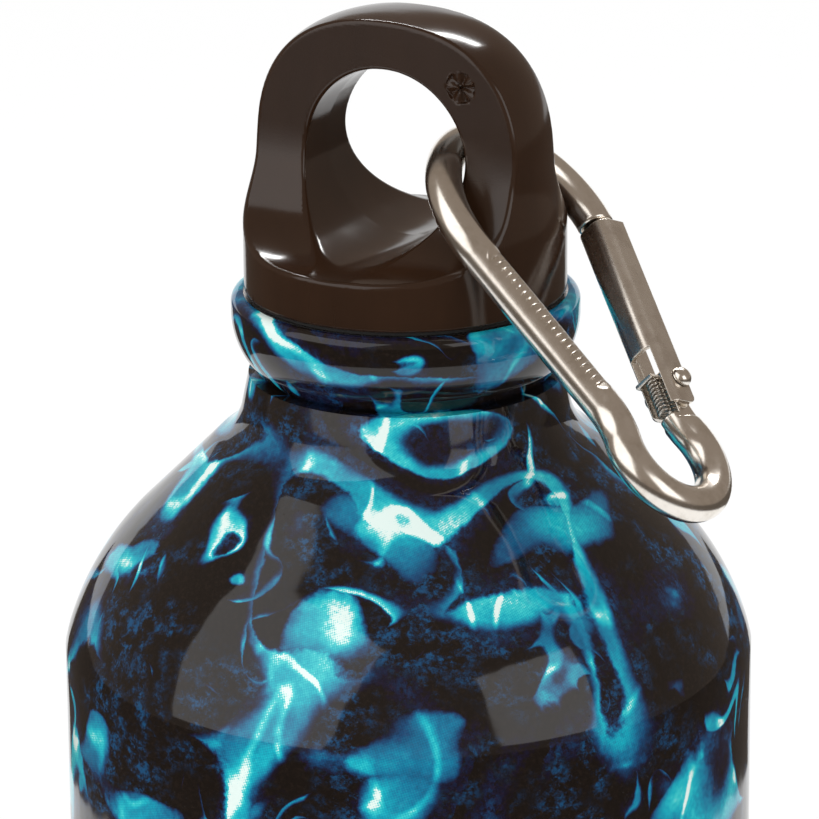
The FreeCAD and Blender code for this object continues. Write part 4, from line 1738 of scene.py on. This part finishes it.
@dataclass(frozen=True)
class SnapHook:
    """The bent wire, its folded gate, the rivet they share and the gate's spring.

    Places on the gate are a distance up its line from the foot, and one outwards from it.  The
    slope, turn and roll in degrees and the centre above the seat say how the hook hangs.
    """

    seat: float
    wire: float = 3.8
    big: float = 10.9
    small: float = 6.0
    small_inset: float = 2.55
    back_bend: float = 7.7
    spacing: float = 29.0
    nose_rise: float = 1.9
    nose_edge: float = 0.35
    flat_depth: float = 0.45
    flat_start: float = 0.8
    flat_length: float = 18.4
    flat_edge: float = 0.3
    flat_run_out: float = 1.8
    flat_clear: float = 0.6
    rib_count: int = 22
    rib_length: float = 1.9
    rib_width: float = 0.34
    rib_height: float = 0.23
    rib_margin: float = 0.9
    gate_width: float = 4.1
    gate_depth: float = 3.6
    sheet: float = 0.6
    sheet_edge: float = 0.12
    rim_edge: float = 0.14
    corner: float = 1.5
    heel: float = 0.9
    window: float = 7.0
    overhang: float = 3.0
    slip: float = 0.2
    nose_gap: float = 0.35
    tongue: float = 3.4
    tongue_depth: float = 1.9
    tongue_root: float = 1.2
    tongue_edge: float = 0.3
    rivet_up: float = 9.1
    rivet_out: float = 0.8
    rivet_radius: float = 0.6
    rivet_slip: float = 0.05
    rivet_segments: int = 64
    head_radius: float = 1.1
    head_height: float = 0.95
    head_gap: float = 0.08
    head_land: float = 0.1
    head_power: float = 0.85
    head_steps: int = 18
    stem_start: float = 4.6
    stem_tip: float = 1.7
    stem_inner: float = 0.3
    stem_side_edge: float = 0.25
    stem_seat_edge: float = 0.2
    stem_tip_edge: float = 0.3
    spring_seat: float = 5.2
    spring_radius: float = 0.6
    spring_wire: float = 0.32
    spring_turns: float = 9.0
    spring_side: float = 1.2
    spring_gap: float = 0.02
    spring_keep: float = 0.94
    spring_steps: int = 32
    tab_start: float = 9.7
    tab_thick: float = 0.5
    tab_length: float = 1.5
    tab_reach: float = 0.7
    slope: float = 42.5
    turn: float = -21.0
    roll: float = 14.1
    centre: Place = (14.45, -0.05, 8.5)
    wire_step: float = 0.17
    sheet_step: float = 0.11
    lean: float = field(init=False)

    def __post_init__(self) -> None:
        """Work out how far the legs lean towards each other."""
        lean = math.asin((self.big - self.small + self.small_inset) / self.spacing)
        object.__setattr__(self, "lean", lean)

    # -- frames
    def pose(self) -> Matrix:
        """Hang the hook.

        Returns:
            Where its own axes lie, in millimetres.
        """
        turn, slope, roll = (math.radians(angle) for angle in (self.turn, self.slope, self.roll))
        outward = Vector((math.cos(turn), math.sin(turn), 0))
        level = Vector((-math.sin(turn), math.cos(turn), 0))
        up = outward * -math.cos(slope) + Vector((0, 0, math.sin(slope)))
        across = level * math.cos(roll) + up.cross(level) * math.sin(roll)
        axes = Matrix((up, across, up.cross(across))).transposed().to_4x4()
        place = Vector(self.centre) + Vector((0, 0, self.seat))
        return Matrix.Translation(place) @ axes

    def leg(self, side: int) -> tuple[np.ndarray, np.ndarray, np.ndarray]:
        """A leg's line, from the big bend towards the small one.

        Args:
            side: -1 for the back leg, +1 for the gate's.

        Returns:
            Its start, its direction and its outward normal.
        """
        angle = side * (math.pi / 2 + self.lean)
        outward = np.array([math.cos(angle), math.sin(angle)])
        along = np.array([-math.cos(self.lean), -side * math.sin(self.lean)])
        return outward * self.big, along, outward

    def gate_axes(self) -> tuple[np.ndarray, np.ndarray, np.ndarray]:
        """The gate's line, from beside the small bend towards the nose.

        Returns:
            Its foot, the way up it and the way out from it.
        """
        tip, along, outward = self.leg(1)
        foot = tip + along * ((self.small_centre - tip) @ along)
        return foot, -along, outward

    @property
    def small_centre(self) -> np.ndarray:
        """Centre of the small bend."""
        return np.array([-self.spacing, 0.0])

    @property
    def gate_top(self) -> float:
        """How far up the gate's line its upper end is."""
        tip, along, _ = self.leg(1)
        return float((self.small_centre - tip) @ along) + self.nose_rise - self.nose_gap

    def on_gate(self, points: Points) -> tuple[np.ndarray, np.ndarray, np.ndarray]:
        """Measure points by the gate.

        Args:
            points: Points in the hook's own axes.

        Returns:
            Their distances up the gate, out from it and along the rivet.
        """
        foot, up, out = self.gate_axes()
        flat = points[:, :2] - foot
        return flat @ up, flat @ out, points[:, 2]

    def gate_place(self, up: float, out: float = 0.0) -> Matrix:
        """Axes on the gate: X up it, Y outwards and Z along the rivet.

        Args:
            up: How far up the gate's line they lie.
            out: How far out from it.

        Returns:
            The axes, in millimetres.
        """
        foot, along, outward = self.gate_axes()
        spot = foot + along * up + outward * out
        local = Matrix(((along[0], outward[0], 0, spot[0]), (along[1], outward[1], 0, spot[1]),
                        (0, 0, 1, 0), (0, 0, 0, 1)))
        return self.pose() @ local

    # -- wire
    def path(self) -> tuple[list[Bend | Run], list[Bend | Run]]:
        """Lay out the wire's middle line.

        Returns:
            Its stretches from the nose round to the small bend, and on up the gate's stem.
        """
        nose = math.pi / 2 + self.lean - self.nose_rise / self.big
        spine = -(math.pi / 2 + self.lean)
        crown = Bend(np.zeros(2), self.big, (nose + spine) / 2, (nose - spine) / 2)
        ends, bends = {}, {}
        for side in (-1, 1):
            start, along, outward = self.leg(side)
            foot = (self.small_centre - start) @ along
            gap = self.small - self.small_inset + self.back_bend
            back = math.sqrt((self.small + self.back_bend) ** 2 - gap ** 2)
            leg_end = start + along * (foot - back)
            centre = leg_end + outward * self.back_bend
            towards = self.small_centre - centre
            join = centre + towards / np.linalg.norm(towards) * self.back_bend
            ends[side] = (leg_end, join)
            bends[side] = Bend.between(centre, leg_end, join, (leg_end + join) / 2 - centre)
        foot_bend = Bend.between(self.small_centre, ends[-1][1], ends[1][1], np.array([-1.0, 0.0]))
        foot, up, _ = self.gate_axes()
        stem = Run(ends[1][0], foot + up * (self.rivet_up + self.stem_tip))
        return [crown, Run(self.leg(-1)[0], ends[-1][0]), bends[-1], foot_bend], [bends[1], stem]

    def tube(self, stretches: Sequence[Bend | Run], points: Points) -> np.ndarray:
        """Distance to round wire.

        Args:
            stretches: The stretches of its middle line.
            points: Points in the hook's own axes.

        Returns:
            The distance, negative inside.
        """
        flat = points[:, :2]
        nearest = stretches[0].distance(flat)
        for stretch in stretches[1:]:
            nearest = np.minimum(nearest, stretch.distance(flat))
        return np.hypot(nearest, points[:, 2]) - self.wire / 2

    def wire_solid(self, points: Points) -> np.ndarray:
        """Distance to the bent wire, with its pressed flat, its stem and the tongue of its nose.

        Args:
            points: Points in the hook's own axes.

        Returns:
            The distance, negative inside.
        """
        main, stem_path = self.path()
        up, out, side = self.on_gate(points)
        half = self.gate_width / 2 - self.sheet - self.slip
        ends_here = np.where(out > -self.big / 2, up - self.gate_top - self.nose_gap, -self.wire)
        beyond = np.where((np.abs(out) < self.wire) & (up > self.big), -ends_here, -self.wire)
        body = rounded_both(self.tube(main, points), beyond, self.nose_edge)
        body = rounded_both(body, self.pressed(points), self.flat_edge)
        sides = np.minimum(up - self.stem_start, np.abs(side) - half)
        stem = rounded_both(self.tube(stem_path, points), sides, self.stem_side_edge)
        seat = np.minimum(up - self.spring_seat, -out - self.stem_inner)
        stem = rounded_both(stem, seat, self.stem_seat_edge)
        stem = rounded_both(stem, up - self.rivet_up - self.stem_tip, self.stem_tip_edge)
        hole = np.hypot(up - self.rivet_up, out - self.rivet_out) - self.rivet_radius
        stem = np.maximum(stem, -hole)
        middle = self.gate_top + (self.tongue_root - self.tongue) / 2
        halves = ((self.tongue + self.tongue_root) / 2, self.tongue_depth / 2, half)
        tongue = self.block((up - middle, out, side), halves, self.tongue_edge)
        return np.minimum(np.minimum(body, stem), tongue)

    @staticmethod
    def block(away: Sequence[np.ndarray], halves: Sequence[float], edge: float) -> np.ndarray:
        """Distance to a block with rounded edges.

        Args:
            away: Distances from its middle along its three axes.
            halves: Half its size along each.
            edge: Radius of its edges.

        Returns:
            The distance, negative inside.
        """
        sides = [np.abs(along) - half + edge for along, half in zip(away, halves)]
        outside = np.sqrt(sum(np.maximum(side, 0) ** 2 for side in sides))
        inside = np.minimum(np.maximum(np.maximum(sides[0], sides[1]), sides[2]), 0)
        return outside + inside - edge

    def pressed(self, points: Points) -> np.ndarray:
        """Distance past the flat pressed into the back leg, whose ends run out softly.

        Args:
            points: Points in the hook's own axes.

        Returns:
            The distance, negative on the wire's side.
        """
        start, along, _ = self.leg(-1)
        run = (points[:, :2] - start) @ along
        soft = self.flat_run_out
        near = np.clip((run - self.flat_start + soft / 2) / soft, 0, 1)
        far = np.clip((self.flat_start + self.flat_length + soft / 2 - run) / soft, 0, 1)
        ease = near * near * (3 - 2 * near) * far * far * (3 - 2 * far)
        ease = np.where(points[:, 1] < 0, ease, 0)
        level = self.wire / 2 + self.flat_clear - (self.flat_depth + self.flat_clear) * ease
        return -points[:, 2] - level

    # -- gate
    def channel(self, out: np.ndarray, side: np.ndarray, inset: float = 0.0) -> np.ndarray:
        """Distance to the folded channel's outside, or to its inside.

        Args:
            out: Distance out from the gate's line.
            side: Distance along the rivet.
            inset: How far inside the outer face to measure.

        Returns:
            The distance, negative inside.
        """
        walls = np.abs(side) - self.gate_width / 2 + inset
        web = -out - self.gate_depth / 2 + inset
        return rounded_both(walls, web, self.corner - inset)

    def gate_solid(self, points: Points) -> np.ndarray:
        """Distance to the gate.

        Args:
            points: Points in the gate's own axes.

        Returns:
            The distance, negative inside.
        """
        up, out, side = points.T
        low = self.rivet_up - self.overhang
        inner = self.channel(out, side, self.sheet)
        sheet = rounded_without(self.channel(out, side), inner, self.sheet_edge)
        sheet = rounded_both(sheet, out - self.gate_depth / 2, self.rim_edge)
        heel = np.hypot(np.minimum(up - low - self.heel, 0),
                        np.minimum(self.gate_depth / 2 - self.heel - out, 0)) - self.heel
        sheet = rounded_both(sheet, np.maximum(heel, low - up), self.sheet_edge)
        sheet = rounded_both(sheet, up - self.gate_top, self.rim_edge)
        window = np.maximum(up - low - self.window, out + self.gate_depth / 2 - self.corner)
        window = np.maximum(window, np.abs(side) - self.gate_width / 2 + self.sheet)
        sheet = rounded_without(sheet, window, self.sheet_edge)
        rivet = np.hypot(up - self.rivet_up, out - self.rivet_out)
        sheet = np.maximum(sheet, -(rivet - self.rivet_radius - self.rivet_slip))
        reach = self.gate_width / 2 - self.sheet / 2
        away = (up - self.tab_start - self.tab_thick / 2, out + self.spring_side,
                side - (reach - self.tab_reach) / 2)
        halves = (self.tab_thick / 2, self.tab_length / 2, (reach + self.tab_reach) / 2)
        return np.minimum(sheet, self.block(away, halves, self.sheet_edge))

    # -- rivet
    def rivet_section(self) -> Section:
        """Draw half of the rivet: a shank between two domed heads.

        Returns:
            Its section, open along the axis.
        """
        base = self.gate_width / 2 + self.head_gap
        outline = Outline(0.0, -base - self.head_height)
        self.dome(outline, base, -1)
        outline.line(self.rivet_radius, -base).line(self.rivet_radius, base, steps=2)
        outline.line(self.head_radius - self.head_land, base)
        self.dome(outline, base, 1)
        return Section(outline.array(), closed=False)

    def dome(self, outline: Outline, base: float, side: int) -> None:
        """Draw one domed head, outwards from the axis below or back to it above.

        Args:
            outline: The outline to go on with.
            base: Height of the head's flat side from the rivet's middle.
            side: -1 for the lower head, +1 for the upper one.
        """
        steps = self.head_steps
        angles = [math.radians(90 * step / steps) for step in range(steps + 1)]
        for angle in (angles if side < 0 else angles[::-1]):
            reach = self.head_radius * math.sin(angle) ** self.head_power if angle else 0.0
            outline.points.append((reach, side * (base + self.head_height * math.cos(angle))))

    def build(self) -> None:
        """Make and dress the wire, its ribs, the gate and the rivet, and then the spring."""
        pose = self.pose()
        reach = self.wire / 2
        low = (-self.spacing - self.small - reach, -self.big - reach, -reach)
        high = (self.big + reach, self.big + reach, reach)
        body = Grid(low, high, self.wire_step).mesh("hook_wire", self.wire_solid, pose)
        dress(add_object("hook_wire", body), PLATED_WIRE, "hook", "hook_body")
        self.build_ribs()
        start = self.rivet_up - self.overhang
        half = self.gate_width / 2
        grid = Grid((start, -self.gate_depth / 2, -half),
                    (self.gate_top, self.gate_depth / 2, half), self.sheet_step)
        gate = grid.mesh("gate_channel", self.gate_solid, self.gate_place(0))
        dress(add_object("gate_channel", gate), PLATED_SHEET, "gate", "hook_gate")
        rivet = self.rivet_section().turned("rivet", self.rivet_segments)
        place = self.gate_place(self.rivet_up, self.rivet_out)
        rivet.transform(Matrix.Scale(MM, 4) @ place @ Matrix.Scale(1 / MM, 4))
        dress(add_object("rivet", rivet), PLATED_WIRE, "hook", "gate_rivet")
        self.build_spring()

    def build_spring(self) -> None:
        """Make and dress the spring at rest under the gate's tab; it keeps that length as the gate
        opens.
        """
        rise = self.tab_start - self.spring_seat - 2 * self.spring_gap - self.spring_wire
        coil = Helix("gate_coil", self.spring_radius, rise, self.spring_turns, Wire.ROUND,
                     self.spring_wire / 2, steps=self.spring_steps)
        foot = self.spring_seat + self.spring_gap + self.spring_wire / 2
        upright = Matrix.Rotation(math.radians(90), 4, "Y")
        place = self.gate_place(foot, -self.spring_side) @ upright
        spring = dress(coil.build(SPRING_STEEL, place), SPRING_STEEL, "hook", "gate_spring")
        axis = self.gate_place(0).to_3x3() @ Vector((1, 0, 0))
        seat = self.gate_place(self.spring_seat, -self.spring_side).to_translation() * MM
        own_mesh(spring)

    def build_ribs(self) -> None:
        """Make and dress the row of ribs on the pressed flat."""
        start, along, outward = self.leg(-1)
        begin = start + along * (self.flat_start + self.rib_margin)
        level = self.wire / 2 - self.flat_depth
        local = Matrix(((along[0], outward[0], 0, begin[0]), (along[1], outward[1], 0, begin[1]),
                        (0, 0, 1, -level), (0, 0, 0, 1)))
        row = RibRow("stamped_ribs", self.rib_count, self.flat_length - 2 * self.rib_margin,
                     self.rib_length, self.rib_width, self.rib_height)
        dress(row.build(PLATED_WIRE, self.pose() @ local), PLATED_WIRE, "hook")


# ------------------------------------------------------------------ studio
@dataclass(frozen=True)
class Softbox:
    """A rectangular lamp that faces the target.

    Its turn is from the camera's own direction and its elevation from the horizon, both in
    degrees.  The distance and the width and height are in metres, and the power in watts.
    """

    name: str
    turn: float
    elevation: float
    distance: float
    size: Pair
    power: float


@dataclass(frozen=True)
class Studio:
    """Pale floor, white surroundings, a dim room that only reflections show, lamps and camera.

    Lengths are in metres and angles in degrees, from the -Y axis and the horizon.
    """

    target: Place = (0.0, 0.0, 0.16828)
    distance: float = 0.600
    azimuth: float = 29.0
    elevation: float = 18.31
    lens: float = 250.5
    sensor: float = 36.0
    clip: Pair = (0.01, 20.0)
    tilt: float = 0.456
    shift: float = 0.0035
    ambient: float = 0.72
    floor_size: float = 4.0
    floor_grey: float = 0.86
    floor_rough: float = 0.7
    floor_glow: float = 0.88
    room_tint: Colour = (1.0, 0.83, 0.69)
    dome_level: float = 0.24
    dome_radius: float = 1.7
    dome_rise: float = 38.0
    dome_reach: float = 127.0
    dome_rings: int = 12
    dome_steps: int = 48
    mat_level: float = 0.10
    mat_near: float = 0.33
    mat_half: float = 158.0
    mat_lift: float = 0.0004
    mat_steps: int = 24
    lamps: tuple[Softbox, ...] = (Softbox("left_box", -55, 30, 1.0, (1.15, 1.10), 4.4),
                                  Softbox("right_box", 46, 20, 1.0, (0.62, 0.62), 1.6),
                                  Softbox("top_box", 172, 46, 1.1, (0.8, 0.06), 6.0))

    def towards(self, azimuth: float, elevation: float, distance: float) -> Vector:
        """A place round the target.

        Args:
            azimuth: Its direction round the target.
            elevation: Its direction above the horizon.
            distance: How far away it is.

        Returns:
            The place.
        """
        turn, rise = math.radians(azimuth), math.radians(elevation)
        way = (math.sin(turn) * math.cos(rise), -math.cos(turn) * math.cos(rise), math.sin(rise))
        return Vector(self.target) + Vector(way) * distance

    def camera(self) -> None:
        """Add the camera."""
        lens = bpy.data.cameras.new("camera")
        lens.lens, lens.sensor_width = self.lens, self.sensor
        lens.clip_start, lens.clip_end = self.clip
        lens.shift_x = self.shift
        camera = bpy.data.objects.new("camera", lens)
        bpy.context.scene.collection.objects.link(camera)
        camera.location = self.towards(self.azimuth, self.elevation, self.distance)
        look = (Vector(self.target) - camera.location).to_track_quat("-Z", "Y")
        turned = look.to_matrix().to_4x4() @ Matrix.Rotation(math.radians(-self.tilt), 4, "Z")
        camera.rotation_euler = turned.to_euler()
        bpy.context.scene.camera = camera

    def lamp(self, box: Softbox) -> None:
        """Add a lamp.

        Args:
            box: Its size and place.
        """
        lamp = bpy.data.lights.new(box.name, "AREA")
        lamp.shape, lamp.size, lamp.size_y = "RECTANGLE", *box.size
        lamp.energy = box.power
        holder = bpy.data.objects.new(box.name, lamp)
        bpy.context.scene.collection.objects.link(holder)
        holder.location = self.towards(self.azimuth + box.turn, box.elevation, box.distance)
        look = Vector(self.target) - holder.location
        holder.rotation_euler = look.to_track_quat("-Z", "Y").to_euler()

    @staticmethod
    def seen(shader: Shader) -> bpy.types.NodeSocket:
        """One for rays that should meet plain white: straight, mirrored or let through.

        Args:
            shader: The tree.

        Returns:
            One for such rays, and 0 for the others.
        """
        path = shader.node("ShaderNodeLightPath").outputs
        mirrored = shader.math("MAXIMUM", path["Is Camera Ray"], path["Is Glossy Ray"])
        return shader.math("MAXIMUM", mirrored, path["Is Transmission Ray"])

    def surroundings(self) -> None:
        """White behind the object, and an even soft light from all sides."""
        world = bpy.data.worlds.new("studio")
        bpy.context.scene.world = world
        world.use_nodes = True
        shader = Shader(world.node_tree)
        background = world.node_tree.nodes["Background"]
        background.inputs["Color"].default_value = (1, 1, 1, 1)
        level = shader.math("MULTIPLY_ADD", self.seen(shader), 1 - self.ambient, self.ambient)
        shader.feed(background.inputs["Strength"], level)

    def floor(self) -> None:
        """A pale floor that keeps the object's shadow."""
        half = self.floor_size / 2
        mesh = bpy.data.meshes.new("floor")
        corners = [(-half, -half, 0), (half, -half, 0), (half, half, 0), (-half, half, 0)]
        mesh.from_pydata(corners, [], [(0, 1, 2, 3)])
        floor = add_object("floor", mesh)
        material = bpy.data.materials.new("pale_floor")
        material.use_nodes = True
        shader = Shader(material.node_tree)
        surface = material.node_tree.nodes["Principled BSDF"]
        surface.inputs["Base Color"].default_value = (*[self.floor_grey] * 3, 1)
        surface.inputs["Roughness"].default_value = self.floor_rough
        glow = shader.out("ShaderNodeEmission", {"Color": (1, 1, 1, 1), "Strength": 1.0})
        share = shader.math("MULTIPLY", self.seen(shader), self.floor_glow)
        both = shader.out("ShaderNodeMixShader", {0: share, 1: surface.outputs[0], 2: glow})
        shader.feed(material.node_tree.nodes["Material Output"].inputs[0], both)
        mesh.materials.append(material)

    def room(self) -> None:
        """A dim dome and a darker mat on the floor, which only reflections show."""
        for name, mesh, level in (("room_dome", self.dome(), self.dome_level),
                                  ("room_mat", self.mat(), self.mat_level)):
            material = bpy.data.materials.new(name)
            material.use_nodes = True
            surface = material.node_tree.nodes["Principled BSDF"]
            surface.inputs["Base Color"].default_value = (0, 0, 0, 1)
            surface.inputs["Specular IOR Level"].default_value = 0.0
            surface.inputs["Emission Color"].default_value = (*self.room_tint, 1)
            surface.inputs["Emission Strength"].default_value = level
            mesh.materials.append(material)
            room = add_object(name, mesh)
            for ray in ("camera", "shadow", "diffuse", "transmission"):
                setattr(room, f"visible_{ray}", False)

    def dome(self) -> bpy.types.Mesh:
        """A large part of a sphere round the object, open on the side away from the camera.

        Returns:
            Its mesh.
        """
        towards = self.towards(self.azimuth, self.dome_rise, 1.0) - Vector(self.target)
        turn = towards.to_track_quat("Z", "Y")
        rings, steps = self.dome_rings, self.dome_steps
        points = []
        for ring in range(1, rings + 1):
            polar = math.radians(self.dome_reach) * ring / rings
            for step in range(steps):
                angle = 2 * math.pi * step / steps
                way = Vector((math.sin(polar) * math.cos(angle), math.sin(polar) * math.sin(angle),
                              math.cos(polar)))
                points.append(Vector(self.target) + (turn @ way) * self.dome_radius)
        faces = [[*range(steps)]]
        for ring in range(rings - 1):
            for step in range(steps):
                a, b = ring * steps + step, ring * steps + (step + 1) % steps
                faces.append([a, a + steps, b + steps, b])
        mesh = bpy.data.meshes.new("room_dome")
        mesh.from_pydata(points, [], faces)
        return mesh

    def mat(self) -> bpy.types.Mesh:
        """A flat sector round the object, open only behind it, just clear of the floor.

        Returns:
            Its mesh.
        """
        points, faces = [], []
        for step in range(self.mat_steps + 1):
            angle = math.radians(self.azimuth + self.mat_half * (2 * step / self.mat_steps - 1))
            for reach in (self.mat_near, self.dome_radius):
                points.append((reach * math.sin(angle), -reach * math.cos(angle), self.mat_lift))
            if step:
                first = 2 * step - 2
                faces.append((first, first + 1, first + 3, first + 2))
        mesh = bpy.data.meshes.new("room_mat")
        mesh.from_pydata(points, [], faces)
        return mesh

    def build(self) -> None:
        """Set the whole studio up."""
        bpy.context.scene.view_settings.view_transform = "Standard"
        self.camera()
        self.surroundings()
        self.floor()
        self.room()
        for box in self.lamps:
            self.lamp(box)


def write_sizes() -> None:
    """Bring the view layer up to date."""
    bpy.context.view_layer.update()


def main() -> None:
    """Build the object and its studio."""
    logging.basicConfig(level=logging.INFO, format="%(message)s")
    seat = round(top_of("loop_cap") - CAP_HEIGHT, 3)
    radius = round(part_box("print_film")[1].x / MM - FILM_THICKNESS, 2)
    log.info("seat at %.3f mm, bare radius %.3f mm", seat, radius)
    Bottle(seat, radius).build()
    LoopCap(seat).build()
    SnapHook(seat).build()
    Studio().build()
    write_sizes()


if __name__ == "__main__":
    main()
